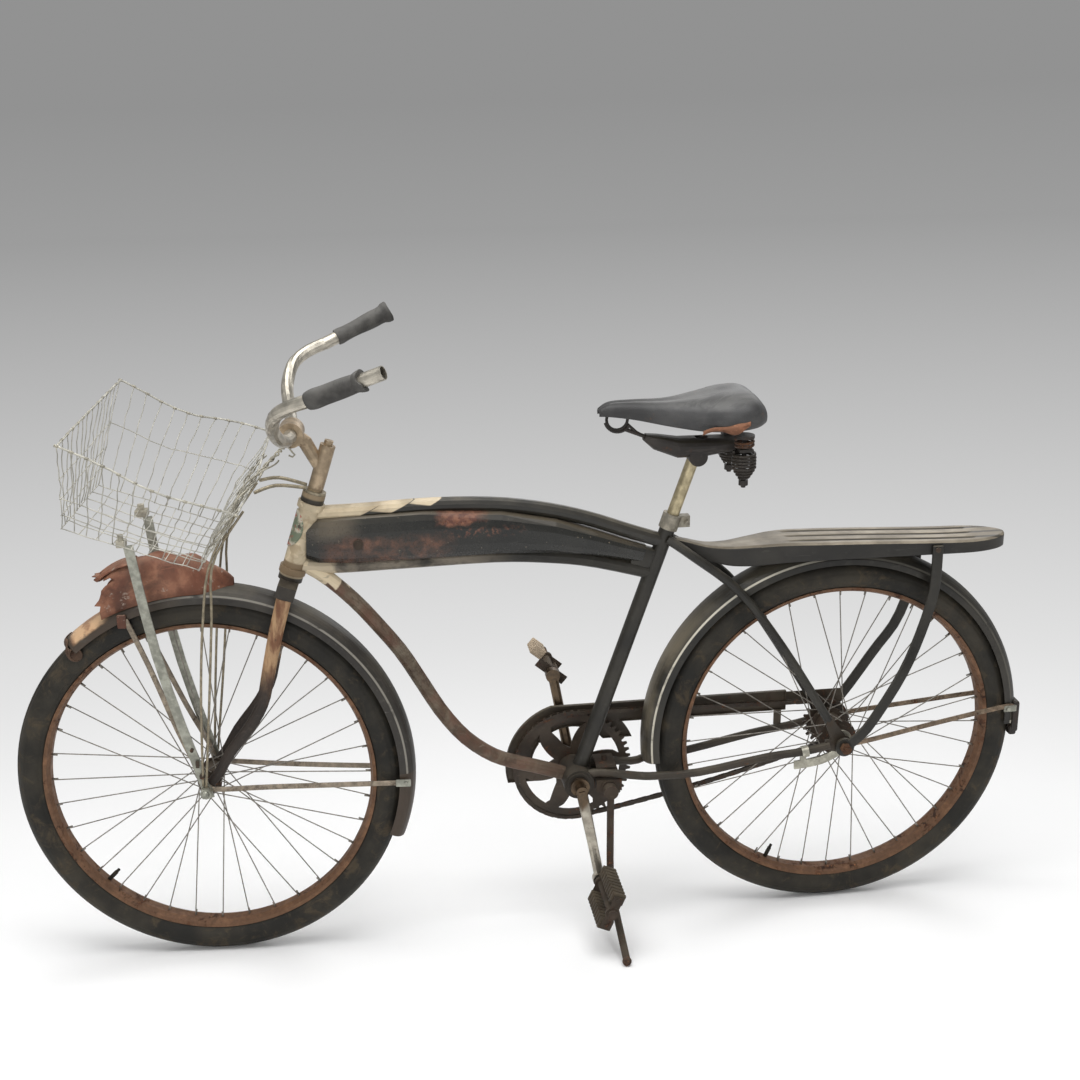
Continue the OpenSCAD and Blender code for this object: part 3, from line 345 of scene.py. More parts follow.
world = bpy.data.worlds.new("studio")
bpy.context.scene.world = world
world.use_nodes = True
tree = world.node_tree
tree.nodes.clear()
ambient = tree.nodes.new("ShaderNodeBackground")
ambient.inputs[0].default_value, ambient.inputs[1].default_value = (1, 1, 1, 1), 0.42
wall = tree.nodes.new("ShaderNodeBackground")
towards, split_way = tree.nodes.new("ShaderNodeTexCoord"), tree.nodes.new("ShaderNodeSeparateXYZ")
fade = tree.nodes.new("ShaderNodeValToRGB")
fade.color_ramp.elements[0].color = (0.334, 0.334, 0.334, 1)
fade.color_ramp.elements[1].color = (0.287, 0.287, 0.287, 1)
fade.color_ramp.elements[1].position = 0.07
path, blend = tree.nodes.new("ShaderNodeLightPath"), tree.nodes.new("ShaderNodeMixShader")
end = tree.nodes.new("ShaderNodeOutputWorld")
for a, b in ((towards.outputs["Generated"], split_way.inputs[0]), (split_way.outputs["Z"], fade.inputs[0]),
             (fade.outputs[0], wall.inputs[0]), (path.outputs["Is Camera Ray"], blend.inputs[0]),
             (ambient.outputs[0], blend.inputs[1]), (wall.outputs[0], blend.inputs[2]),
             (blend.outputs[0], end.inputs[0])):
    tree.links.new(a, b)
bpy.context.scene.view_settings.view_transform = "Standard"

# %% [markdown]
# ## Paint on the frame
# The head and the front of the top tube are cream, ending in feathered darts; the rest was black.
# The down tube has lost most of its colour to rust. Each pattern is a mask made from the point's
# place on the upright bicycle, so that it stays put when the steering turns.

# %% frame paint
CREAM, BLACK, BROWN = (0.66, 0.55, 0.38), (0.021, 0.019, 0.0145), (0.115, 0.07, 0.043)


def top_tube_paint(f, colour, at):
    x, _, z = at
    rise = (z - 804) / 12.7                          # -1 under the tube, 1 on top
    dart = (x + rise * 26.0 - 683.0) % 47.0
    edge = (842.0 - x) / 92.0 - 1.0 + dart / 47.0 * 0.8
    cream = f.ease(rise - edge, -0.06, 0.06) * f.ease(x, 683, 689)
    slit = f.ease(dart, 1.2, 3.4) + f.ease(rise - edge, 1.0, 1.4) + f.ease(x, 838, 848)
    tone = f.mix(f.spots(0.4, 0.7, 18, 5), CREAM, (0.42, 0.33, 0.21))
    return f.mix(cream * slit.held(), colour, tone), cream * -0.06


def down_tube_paint(f, colour, at):
    x, _, z = at
    flakes = f.spots(0.4, 0.7, 26, 7, 0.65, 0.5)
    colour = f.mix(flakes * 0.75, colour, (0.19, 0.16, 0.115))
    red = f.spots(0.45, 0.65, 15, 5) * 0.75
    colour = f.mix(red, colour, (0.13, 0.055, 0.035))
    lug = f.ease(z + abs((x % 24.0) - 12.0) * 1.2 + f.noise(60, 4) * 8.0, 684, 688)
    return f.mix(lug, colour, CREAM), lug * -0.08


def bar_paint(f, colour, at):
    x, _, _ = at
    # worn: pale worn paint on the bar's rear part, which also stands for a painted highlight along it
    worn = f.spots(0.32, 0.62, 26, 7, 0.6, 0.4) * f.ease(x, 560, 700)
    colour = f.mix(worn, colour, (0.2, 0.17, 0.13))
    lug = f.ease(x + f.noise(40, 4) * 40.0, 905, 915)
    return f.mix(lug, colour, (0.5, 0.42, 0.3)), f.ease(x, 600, 800) * 0.04


def head_paint(f, colour, at):
    x, _, z = at
    drip = f.spots(0.52, 0.66, 46, 6, 0.6, 0.7) * 0.6
    colour = f.mix(drip, colour, (0.3, 0.22, 0.13))
    ends = f.ease(abs(z - x * 0.325 - 471.3), 58, 62)
    return f.mix(ends, colour, (0.2, 0.14, 0.08)), ends * 0.06


def tank_paint(f, colour, at):
    x, _, z = at
    ragged = f.noise(24, 7, 0.65, 0.3) * 90.0 - 45.0
    low = f.ease(abs(x - 800.0) + ragged, 125, 70) * f.ease(z + ragged * 0.4, 770, 752)
    low = low * f.spots(0.3, 0.62, 40, 7, 0.7, 0.3)
    high = f.ease(abs(x - 668.0) + ragged * 0.8, 54, 26) * f.ease(abs(z - 787.0) + ragged * 0.35, 15, 7)
    chips = f.ease(abs(x - 640.0), 90, 20) * f.ease(abs(z - 762.0), 12, 3)
    chips = chips * f.spots(0.5, 0.6, 120, 5, 0.7) * 0.7
    # front and top: a painted highlight in tan, on the upper front end of the tank and on its upward faces
    front = f.ease(abs(x - 890.0) + ragged * 0.6, 62, 5) * f.ease(z + ragged * 0.3, 750, 778)
    top = f.ease(f.facing_up(), 0.35, 0.75) * 0.45
    colour = f.mix((front * 0.62).above(top), colour, (0.16, 0.13, 0.09))
    red = f.mix(f.spots(0.35, 0.68, 70, 6), (0.055, 0.029, 0.019), (0.15, 0.066, 0.038))
    colour = f.mix(low * 0.9, colour, red)
    colour = f.mix(high.above(chips) * 0.95, colour, f.mix(f.spots(0.4, 0.6, 90, 5),
                                                          (0.1, 0.037, 0.025), (0.22, 0.095, 0.055)))
    specks = f.spots(0.7, 0.74, 210, 3)
    return f.mix(specks, colour, (0.26, 0.21, 0.15)), 0.0


wear("head_tube", aged("cream_head", CREAM, 0.12, 30, 0.5, 0.25, (0.1, 0.06, 0.04), head_paint))
wear("top_tube", aged("top_tube_paint", BLACK, 0.08, 26, 0.34, 0.55, None, top_tube_paint, spec=0.5))
wear("tank_bar", aged("tank_bar_paint", BLACK, 0.22, 26, 0.45, 0.4, None, bar_paint))
wear("tank", aged("tank_paint", (0.013, 0.013, 0.0105), 0.1, 20, 0.24, 0.2, None, tank_paint, spec=0.5))
wear("down_tube", aged("down_tube_paint", BROWN, 0.45, 28, 0.6, 0.3, (0.2, 0.17, 0.13), down_tube_paint))
frame_black = aged("frame_black", BLACK, 0.16, 30, 0.4, 0.45)
wear("seat_tube seat_stays rack_legs", frame_black)
wear("chain_stays", aged("stay_paint", (0.045, 0.034, 0.023), 0.46, 34, 0.5, 0.4))
wear("bottom_bracket", aged("bracket_paint", (0.04, 0.031, 0.021), 0.48, 40, 0.55, 0.3))
wear("seat_clamp", bare("clamp_steel", (0.34, 0.31, 0.25), 0.3, 46, 0.6, 0.5))
wear("seat_post", bare("post_plate", (0.55, 0.47, 0.3), 0.26, 40, 0.85, 0.34, (0.16, 0.12, 0.06),
                       bump=0.0002))

# %% [markdown]
# ## Paint on what rides with the fork
# The blades have shed their paint above and kept it below. The mudguard is dark with a pale line, and
# its front end is bare peach-coloured metal where the lamp and the sheet have broken.

# %% fork paint


def blade_paint(f, colour, at):
    _, _, z = at
    bald = f.ease(z + f.noise(26, 5) * 120.0, 545, 640)
    streaks = f.noise(75, 6, 0.6, 0.3, vector=f.stretched((1, 1, 0.25)))
    tan = f.mix(f.ease(streaks, 0.36, 0.62), (0.17, 0.075, 0.036), (0.43, 0.27, 0.145))
    worn = f.spots(0.6, 0.66, 44, 7, 0.7, 0.5) * 0.8
    return f.mix(bald - bald * worn, colour, tan), bald * -0.02


def guard_pattern(f, at, guard):
    """How far round its wheel a mudguard's point is in degrees, how far below the crown, and its line"""
    dx, dz = at[0] - guard[0], at[2] - guard[1]
    reach = f.add("Math", {"operation": "SQRT"}, dx * dx + dz * dz)
    angle = f.add("Math", {"operation": "ARCTAN2"}, dz, dx) * math.degrees(1)
    fall = guard[2] - reach
    return angle, fall, f.ease(abs(fall - 14.0), 2.0, 1.2) * f.spots(0.3, 0.45, 24, 4)


def front_guard_paint(f, colour, at):
    angle, fall, line = guard_pattern(f, at, FRONT_GUARD)
    colour = f.mix(line * 0.75, colour, (0.3, 0.28, 0.24))
    chips = f.spots(0.64, 0.69, 150, 5, 0.7) * f.ease(angle, 120, 150).above(f.ease(angle, 10, -5))
    colour = f.mix(chips * 0.6, colour, (0.33, 0.3, 0.25))
    brown = f.ease(angle + f.noise(20, 5) * 40.0, 110, 80)
    colour = f.mix(brown, colour, (0.048, 0.032, 0.021))
    bare_end = f.ease(angle + f.noise(30, 5) * 9.0 + fall * 0.28, 71, 66) * f.ease(angle, 48.5, 50.5)
    bare_end = bare_end * f.ease(fall + f.noise(50, 4) * 6.0, 21, 16)
    peach = f.mix(f.spots(0.45, 0.6, 40, 5), (0.62, 0.4, 0.23), (0.36, 0.2, 0.11))
    return f.mix(bare_end, colour, peach), brown * 0.06 - bare_end * 0.2


def rear_guard_paint(f, colour, at):
    angle, fall, line = guard_pattern(f, at, REAR_GUARD)
    pale = f.ease(angle, 60, 25) * f.ease(fall, 16, 4) * f.spots(0.3, 0.6, 12, 5)
    colour = f.mix(pale * 0.8, colour, (0.2, 0.17, 0.12))
    colour = f.mix(line * (0.1 + 0.85 * f.ease(angle, 100, 55)), colour, (0.62, 0.58, 0.48))
    return colour, f.ease(abs(fall - 24.0), 3.0, 1.0) * 0.05


def crown_paint(f, colour, at):
    x, _, z = at
    level = z - x * 0.325                            # height along the steering axis
    bronze = f.ease(level, 530, 534)
    colour = f.mix(bronze, colour, (0.24, 0.18, 0.11))
    band = f.ease(abs(level - 393.0), 9.5, 8.0)
    return f.mix(band, colour, (0.33, 0.27, 0.18)), bronze * 0.04


wear("fork", aged("crown_paint", (0.035, 0.028, 0.02), 0.3, 40, 0.45, 0.4, None, crown_paint, "fork"))
wear("fork_blades", aged("blade_paint", (0.035, 0.024, 0.018), 0.34, 36, 0.55, 0.2, None, blade_paint,
                         "fork"))
wear("front_fender", aged("front_guard_paint", (0.036, 0.031, 0.026), 0.2, 26, 0.42, 0.5, None,
                          front_guard_paint, "fork"))
wear("rear_fender", aged("rear_guard_paint", (0.022, 0.02, 0.016), 0.14, 24, 0.38, 0.5, None,
                         rear_guard_paint))
wear("stem", bare("stem_bronze", (0.44, 0.34, 0.23), 0.26, 30, 0.75, 0.38, (0.14, 0.09, 0.05), bump=0.0002))
bar_chrome = bare("bar_chrome", (0.56, 0.52, 0.44), 0.14, 26, 0.9, 0.3, (0.2, 0.15, 0.1), bump=0.0001)
wear("handlebar", bar_chrome)
zinc = bare("dull_zinc", (0.4, 0.4, 0.34), 0.14, 40, 0.75, 0.42, (0.16, 0.14, 0.1))
wear("basket_struts front_axle", zinc)
wear("basket_stays", bare("wire_stays", (0.36, 0.31, 0.22), 0.24, 50, 0.7, 0.45, (0.14, 0.1, 0.06)))
wear("front_fender_braces", bare("front_braces", (0.36, 0.3, 0.23), 0.36, 40, 0.6, 0.5))

# %% [markdown]
# ## Bare and rusty steel
# Drive parts, stand and hubs are oily brown, the rims have rusted through their plating, and the rear
# axle's nuts are orange. The spokes stay grey, and the crank arms keep most of their chrome.

# %% steel
spoke_steel = bare("spoke_steel", (0.3, 0.275, 0.24), 0.22, 60, 0.6, 0.42)
rusty = aged("rusty_steel", (0.06, 0.042, 0.028), 0.62, 36, 0.7, 0.2)
oily = aged("oily_steel", (0.055, 0.039, 0.026), 0.5, 40, 0.5, 0.25)
rim_rust = bare("rim_rust", (0.215, 0.108, 0.053), 0.56, 22, 0.3, 0.5, (0.1, 0.05, 0.027))
wear("front_spokes rear_spokes", spoke_steel)
wear("front_rim rear_rim", rim_rust)
wear("front_hub rear_hub stand_bracket side_stand", rusty)
wear("chainring rear_sprocket", oily)


def spring_rust(f, colour, at):
    _, _, z = at
    top = f.ease(z, 885, 900)
    return f.mix(top, colour, (0.11, 0.058, 0.036)), top * 0.15


wear("saddle_springs", aged("spring_steel", (0.04, 0.031, 0.023), 0.45, 40, 0.5, 0.2, None, spring_rust))
wear("rear_axle", aged("orange_rust", (0.16, 0.075, 0.035), 0.7, 44, 0.8, 0.15))
chassis = aged("saddle_chassis", (0.03, 0.024, 0.02), 0.45, 44, 0.5, 0.25)
wear("saddle_frame", chassis)
wear("rear_fender_braces", bare("rear_braces", (0.3, 0.22, 0.15), 0.5, 40, 0.5, 0.5))
wear("chain_guard", aged("guard_paint", (0.07, 0.052, 0.034), 0.5, 30, 0.5, 0.5))


def crank_wear(f, colour, at):
    x, y, z = at
    boss = f.ease(abs(x - CRANK.x) + abs(z - CRANK.z), 40, 26).above(f.ease(y, 0, -20))
    return f.mix(boss, colour, (0.12, 0.085, 0.055)), boss * 0.08


wear("crank", bare("crank_chrome", (0.46, 0.42, 0.35), 0.26, 30, 0.95, 0.24, regions=crank_wear,
                   bump=0.0002))
wear("brake_arm", bare("arm_plate", (0.5, 0.48, 0.4), 0.2, 50, 0.8, 0.35))

# %% [markdown]
# ## Carrier paint
# A pale dusty top and a dark skirt, with three grooves along it that have kept their black.

# %% carrier paint


def carrier_paint(f, colour, at):
    x, y, _ = at
    top = f.ease(f.facing_up(), 0.4, 0.75)
    tan = f.mix(f.spots(0.35, 0.65, 16, 6), (0.17, 0.14, 0.1), (0.35, 0.3, 0.225))
    groove = f.ease(abs((y + 13.0) % 26.0 - 13.0), 3.4, 5.0)
    streak = f.spots(0.4, 0.65, 30, 5, vector=f.stretched((0.12, 1, 1))) * 0.5
    tan = f.mix(streak, tan, (0.12, 0.1, 0.07))
    tan = f.mix(groove.above(f.ease(x, 60, 130)), (0.03, 0.026, 0.02), tan)
    return f.mix(top, colour, tan), 0.0


carrier = aged("carrier_paint", (0.022, 0.02, 0.017), 0.12, 26, 0.42, 0.3, None, carrier_paint)

# %% [markdown]
# ## Making pieces
# `piece` turns a bmesh into a finished object on its body. `lathe` spins a profile about an axle, and
# `wires` draws bent wire as curves with a round section.

# %% piece helpers
random.seed(7)
SHEET = 0.0016                                       # thickness of the broken steel sheets, in metres


def piece(name, bm, body, material, place=None, smooth=True, replaces=()):
    if place is not None:
        bmesh.ops.transform(bm, matrix=place, verts=bm.verts)
    bmesh.ops.remove_doubles(bm, verts=bm.verts, dist=1e-6)
    bmesh.ops.recalc_face_normals(bm, faces=bm.faces)
    mesh = bpy.data.meshes.new(name)
    bm.to_mesh(mesh)
    bm.free()
    if smooth:
        mesh.polygons.foreach_set("use_smooth", [True] * len(mesh.polygons))
    mesh.materials.append(material)
    ob = bpy.data.objects.new(name, mesh)
    bpy.context.scene.collection.objects.link(ob)
    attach(ob, body)
    if replaces:
        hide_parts(*replaces)
    print(name, len(mesh.polygons), "faces")
    return ob


def smoothed(ob, angle=35):
    """Keeps edges sharper than the angle"""
    ob.data.set_sharp_from_angle(angle=math.radians(angle))
    return ob


def lathe(profile, steps, centre, axis=(0, 1, 0)):
    """Spins a closed profile of (radius, along) points about an axis through centre"""
    bm = bmesh.new()
    way = Vector(axis).normalized()
    out = way.orthogonal().normalized()
    made = [bm.verts.new(Vector(centre) + out * r + way * a) for r, a in profile]
    edges = [bm.edges.new(pair) for pair in zip(made, made[1:] + made[:1])]
    bmesh.ops.spin(bm, geom=made + edges, cent=centre, axis=way, angle=math.tau, steps=steps,
                   use_merge=True)
    return bm


def sheet(across, along, shape):
    """A grid whose points are moved to shape(u, v), with u and v from 0 to 1"""
    bm = bmesh.new()
    bmesh.ops.create_grid(bm, x_segments=across, y_segments=along, size=0.5)
    for v in bm.verts:
        v.co = Vector(shape(v.co.x + 0.5, v.co.y + 0.5))
    return bm


def thickened(ob, thickness, offset=-1.0):
    """Gives a sheet its thickness in metres. offset -1 grows it inward, 0 both ways"""
    skin = ob.modifiers.new("thickness", "SOLIDIFY")
    skin.thickness, skin.offset = thickness, offset
    return ob


def along_list(row, t):
    """Value a share t of the way along a row of evenly spaced values"""
    i = min(int(t * (len(row) - 1)), len(row) - 2)
    u = t * (len(row) - 1) - i
    return row[i] + (row[i + 1] - row[i]) * u


def wires(name, paths, radius, body, material, place=turned, round_off=1, replaces=()):
    """Bent wires, each through its own points in millimetres. round_off adds corners to the section"""
    curve = bpy.data.curves.new(name, "CURVE")
    curve.dimensions, curve.bevel_depth, curve.bevel_resolution = "3D", radius * 0.001, round_off
    curve.use_fill_caps = True
    for points in paths:
        line = curve.splines.new("POLY")
        line.points.add(len(points) - 1)
        for spline_point, p in zip(line.points, points):
            spline_point.co = (*(place @ Vector(p)), 1.0)
    ob = bpy.data.objects.new(name, curve)
    bpy.context.scene.collection.objects.link(ob)
    depsgraph = bpy.context.evaluated_depsgraph_get()
    mesh = bpy.data.meshes.new_from_object(ob.evaluated_get(depsgraph))
    bpy.data.objects.remove(ob)
    bm = bmesh.new()
    bm.from_mesh(mesh)
    bpy.data.meshes.remove(mesh)
    return piece(name, bm, body, material, replaces=replaces)


# %% [markdown]
# ## Tyres
# A balloon tyre has a nearly round section, with shallow ribs round its crown and a bead line low
# on each wall. The rubber is perished: brown dust in the ribs and fine cracks across the wall. A torus
# with bump would do for the wall, but a lathed profile gives the ribs and the bead a true outline.

# %% tyres


def tyre_rubber():
    f = Finish("perished_rubber")
    base = f.mix(f.spots(0.35, 0.7, 12, 6), (0.012, 0.011, 0.0085), (0.04, 0.034, 0.024))
    dirt = f.spots(0.5, 0.68, 30, 7, 0.7, 0.6)
    base = f.mix(dirt * 0.7, base, (0.082, 0.062, 0.04))
    cracks = f.ease(f.cells(95, "DISTANCE_TO_EDGE"), 0.0, 0.05)
    rough = 0.62 + dirt * 0.25
    return f.finish(base, rough, 0.0, cracks * 0.3 + f.noise(220, 4) * 0.5, 0.0006,
                    Specular_IOR_Level=0.3)


rubber = tyre_rubber()
TYRE_MIDDLE, TYRE_R, BEAD = 306, 26.9, 152           # ring radius, section radius, degrees to the bead
tyre_profile = []
for k in range(61):
    a = math.radians(BEAD * (k / 30 - 1))
    r, side = TYRE_R, abs(math.degrees(a))
    if side < 44:
        r -= 1.1 * (math.sin(side * math.pi / 11) > 0.55)
    if 68 < side < 74 or 118 < side < 123:
        r -= 0.7
    tyre_profile.append((TYRE_MIDDLE + r * math.cos(a), r * math.sin(a)))
for name, hub, place, body in (("front_tyre", FRONT_HUB, turned, "front_wheel"),
                               ("rear_tyre", REAR_HUB, parked, "rear_wheel")):
    bm = lathe(tyre_profile, 144, hub)
    smoothed(piece(name + "_rubber", bm, body, rubber, place, replaces=(name,)), 50)

# %% [markdown]
# ## Nipples and valves
# Each spoke ends in a small nipple at the rim, and a valve stands inside each rim. They are short rods
# set by a loop on the CAD's own spoke angles, joined into one piece a wheel.

# %% nipples and valves


def stub(bm, start, end, radius, corners=8):
    """A short round rod from start to end, added to the bmesh"""
    start, end = Vector(start), Vector(end)
    turn = (end - start).to_track_quat("Z", "Y").to_matrix().to_4x4()
    place = Matrix.Translation((start + end) / 2) @ turn
    bmesh.ops.create_cone(bm, cap_ends=True, segments=corners, radius1=radius, radius2=radius,
                          depth=(end - start).length, matrix=place)


SPOKES, SPOKE_END, NIPPLE_END = 36, 266, 275.6
VALVE_ENDS = (276, 256, 249)                         # at the rim, at the collar and at the tip
for hub, place, body, valve in ((FRONT_HUB, turned, "front_wheel", (1307, 142)),
                                (REAR_HUB, parked, "rear_wheel", (113, 97))):
    bm = bmesh.new()
    for k in range(SPOKES):
        a = math.tau * k / SPOKES
        way = Vector((math.cos(a), 0, -math.sin(a)))
        base = hub + Vector((0, 2 if k % 2 else -2, 0))
        stub(bm, base + way * NIPPLE_END, base + way * SPOKE_END, 1.7, 6)
    piece(body + "_nipples", bm, body, spoke_steel, place)
    bm = bmesh.new()
    way = (Vector((valve[0], 0, valve[1])) - hub).normalized()
    root, collar, tip = [hub + way * r for r in VALVE_ENDS]
    stub(bm, root, collar, 3.8)
    stub(bm, collar, tip, 2.8)
    piece(body + "_valve", bm, body, rubber, place)

# %% [markdown]
# ## Chain
# The CAD chain is two flat plates. Here it is a real roller chain: a link every 12.7 mm round the
# chainring, along the slack lower run and round the sprocket. An array along a curve would drift at
# the joint, so the route is measured first and the links share its length out evenly.

# %% chain
RING_R, COG_R, CHAIN_Y, SAG, PITCH_MM = 105.17, 40.59, -44, 9, 12.7


def chain_route():
    """Points round the chainring, over the sprocket and along the slack lower run"""
    hubs, radii = (CRANK.xz, REAR_HUB.xz), (RING_R, COG_R)
    way = hubs[1] - hubs[0]
    tilt = math.atan2(way.y, way.x)
    spread = math.acos((RING_R - COG_R) / way.length)

    def on(k, a):
        return hubs[k] + radii[k] * Vector((math.cos(a), math.sin(a)))
    route = [on(0, tilt + spread + (math.tau - 2 * spread) * i / 60) for i in range(61)]
    route += [on(1, tilt - spread + 2 * spread * i / 30) for i in range(31)]
    low = (on(1, tilt + spread), on(0, tilt + spread))
    route += [low[0].lerp(low[1], t / 20) - Vector((0, 4 * SAG * t / 20 * (1 - t / 20)))
              for t in range(1, 20)]
    return route


route = chain_route()
lengths = [(b - a).length for a, b in zip(route, route[1:] + route[:1])]
links = round(sum(lengths) / PITCH_MM)
pitch = sum(lengths) / links
pins, i, walked = [], 0, 0.0
for k in range(links):
    while walked + lengths[i] < k * pitch:
        walked += lengths[i]
        i += 1
    pins.append(route[i].lerp(route[(i + 1) % len(route)], (k * pitch - walked) / lengths[i]))


def link_plate(bm, a, b, y, thick, half):
    """One figure-of-eight plate from pin a to pin b"""
    long = (b - a).length
    disc = bmesh.ops.create_circle(bm, cap_ends=True, segments=12, radius=half)["verts"]
    for v in disc:
        v.co.y *= 0.86 + 0.14 * abs(v.co.x) / half
        v.co.x += long / 2 if v.co.x > 0 else -long / 2
    face = disc[0].link_faces[0]
    grown = bmesh.ops.extrude_face_region(bm, geom=[face])["geom"]
    far = [v for v in grown if isinstance(v, bmesh.types.BMVert)]
    bmesh.ops.translate(bm, vec=(0, 0, thick), verts=far)
    angle = math.atan2((b - a).y, (b - a).x)
    middle = (a + b) / 2
    place = (Matrix.Translation((middle.x, y, middle.y)) @ Matrix.Rotation(math.pi / 2, 4, "X")
             @ Matrix.Rotation(angle, 4, "Z"))
    bmesh.ops.transform(bm, matrix=place, verts=list(set(disc) | set(far)))


bm = bmesh.new()
for k, a in enumerate(pins):
    b = pins[(k + 1) % links]
    for reach in (-3.3, 3.4) if k % 2 else (-2.4, 2.5):
        link_plate(bm, a, b, CHAIN_Y + reach, 0.9, 4.2)
    stub(bm, (a.x, CHAIN_Y - 3.7, a.y), (a.x, CHAIN_Y + 3.7, a.y), 2.0, 8)
chain_grime = aged("chain_grime", (0.05, 0.036, 0.024), 0.6, 60, 0.5, 0.2)
smoothed(piece("chain_links", bm, "frame", chain_grime, parked, replaces=("chain",)))

# %% [markdown]
# ## Wire basket
# Thin galvanised wire, woven close near the floor and open above, with a thicker rim that each
# upright wire is wrapped round. It has been knocked about, so every wire wanders a little. A wireframe
# modifier would make all wires straight and alike, so each wire is its own curve with a round section.

# %% basket
TOP_X, TOP_Z, TOP_Y = (1010, 1143, 1268), (866, 925, 987), (232, 247, 241)
FLOOR_X, FLOOR_Z, FLOOR_Y = (1090, 1195, 1299), (742, 780, 817), (136, 136, 136)


def shares(n):
    return [k / n for k in range(n + 1)]


def crosswise(n):
    """The same from -1, the right side, to 1, the left side"""
    return [2 * k / n - 1 for k in range(n + 1)]


def through(points, t):
    """Smooth value a share t of the way along three values"""
    a, b, c = points
    return a * (1 - t) * (1 - 2 * t) + b * 4 * t * (1 - t) + c * t * (2 * t - 1)


def rim_point(t, side):
    """Point on the top rim: t from rear to front, side from -1 (right) to 1 (left)"""
    dip = 15 * math.sin(math.pi * t) ** 2 * (0.75 if side < 0 else 0.15)
    wave = 3 * math.sin(9 * t + side)
    lift = 30 * (1 - t) ** 1.5 * max(0.0, -side)     # the right rear corner has been pulled up
    height = through(TOP_Z, t) - dip + wave + lift - 4
    return Vector((through(TOP_X, t), side * through(TOP_Y, t) * 0.985, height))


def floor_point(t, side):
    sag = 7 * math.sin(math.pi * t) * math.cos(side * 1.5)
    return Vector((through(FLOOR_X, t), side * through(FLOOR_Y, t) * 0.98, through(FLOOR_Z, t) - sag + 7))


def wander(p, amount):
    return p + Vector([random.uniform(-amount, amount) for _ in range(3)])


def end_point(t, side, up):
    """Point on a flat end wall, up from 0 at the floor to 1 at the rim"""
    return floor_point(t, side).lerp(rim_point(t, side), up)


def wall_point(t, side, up):
    """The same on a long wall, which has been pressed in"""
    return end_point(t, side, up) - Vector((0, side * 9 * math.sin(math.pi * up), 0))


LEVELS = [0.16, 0.36, 0.6]                           # heights of the level wires
thin = []
for side in (-1, 1):
    for t in shares(11):
        thin.append([wander(wall_point(t, side, up), 1.5) for up in shares(10)])
    for up in LEVELS[2:] if side < 0 else LEVELS[:2]:
        thin.append([wander(wall_point(t, side, up), 1.2) for t in shares(14)])
for t in (0, 1):
    crush = 14 if t == 0 else 0
    for side in crosswise(13)[1:-1]:
        thin.append([wander(end_point(t, side, up) + Vector((crush * math.sin(math.pi * up), 0, 0)), 1.6)
                     for up in shares(10)])
    for up in LEVELS:
        thin.append([wander(end_point(t, side, up), 1.2) for side in crosswise(12)])
for side in crosswise(6):
    thin.append([wander(floor_point(t, side), 1.2) for t in shares(10)])
for t in shares(8):
    thin.append([wander(floor_point(t, side), 1.2) for side in crosswise(10)])
rim_loop = [rim_point(t, 1) for t in shares(16)] + [rim_point(1, -side) for side in crosswise(16)[1:-1]]
rim_loop += [rim_point(1 - t, -1) for t in shares(16)] + [rim_point(0, side) for side in crosswise(16)[1:]]
rim_loop = [wander(p, 0.8) for p in rim_loop]
rim_loop[-1] = rim_loop[0].copy()
for _ in range(3):
    ring_round = list(zip(rim_loop, rim_loop[1:]))
    rim_loop = [p for a, b in ring_round for p in (a.lerp(b, 0.25), a.lerp(b, 0.75))]
    rim_loop.append(rim_loop[0].copy())
knots = []
for t in shares(11):
    for side in (-1, 1):
        p, half = rim_point(t, side), Vector((3, 0, 1.1))
        knots.append([p - half, p + half])
for side in crosswise(13)[1:-1]:
    p, half = rim_point(1, side), Vector((0, 4, 0))
    knots.append([p - half, p + half])

galvanised = bare("galvanised_wire", (0.56, 0.54, 0.47), 0.1, 18, 0.25, 0.6, (0.3, 0.25, 0.18),
                  bump=0.0001)
dark_wire = bare("rusted_wire", (0.45, 0.42, 0.34), 0.22, 24, 0.35, 0.55, (0.2, 0.16, 0.1), bump=0.0001)
wires("basket_mesh", thin, 0.85, "fork", galvanised, replaces=("basket",))
wires("basket_rim", [rim_loop], 1.7, "fork", galvanised, round_off=2)
wires("basket_knots", knots, 2.4, "fork", dark_wire)

# %% [markdown]
# ## Saddle
# A leather cover stretched from a narrow nose to a wide back, with a skirt that turns in below. It is
# made from a grid bent into that shape and given a thickness, so that it is hollow underneath.

# %% saddle
POST_TOP = 874                                       # level of the seat post's top, 78 below the saddle
SADDLE = Vector((CRANK.x - (POST_TOP - CRANK.z) / math.tan(SEAT_ANGLE) - 118, 0, POST_TOP + 78))
LINE = [(286, -1), (266, 3), (225, 0), (170, -7), (115, -8), (70, -4), (32, -2), (10, -8)]
HALF = [(9, 6), (18, 13), (24, 18), (36, 25), (62, 33), (82, 36), (80, 32), (52, 16)]


def curve_through(points, t):
    """Catmull-Rom curve through the points, as the CAD draws it"""
    last = len(points) - 1
    i = min(int(t * last), last - 1)
    u = t * last - i
    a, b, c, d = [Vector(points[min(max(j, 0), last)]) for j in (i - 1, i, i + 1, i + 2)]
    square, cube = 2 * a - 5 * b + 4 * c - d, 3 * b - a - 3 * c + d
    return b + (u * (c - a) + u * u * square + u ** 3 * cube) / 2


def saddle_shape(u, v):
    """u runs from the back to the nose, v from the right skirt over the top to the left skirt"""
    t = 1 - u
    at, half = curve_through(LINE, t), curve_through(HALF, t)
    a = math.radians(212 - 244 * v)
    x, z = math.cos(a), math.sin(a)
    x, z = (math.copysign(abs(k) ** 0.85, k) for k in (x, z))
    hollow = 4.2 * (0.35 + 0.65 * math.sin(math.pi * min(1, t * 1.2)))
    drop = hollow * math.exp(-((x / 0.35) ** 2)) * max(0.0, z)
    return SADDLE + Vector((at[0], half[0] * 0.985 * x, at[1] + half[1] * 0.97 * z - drop))


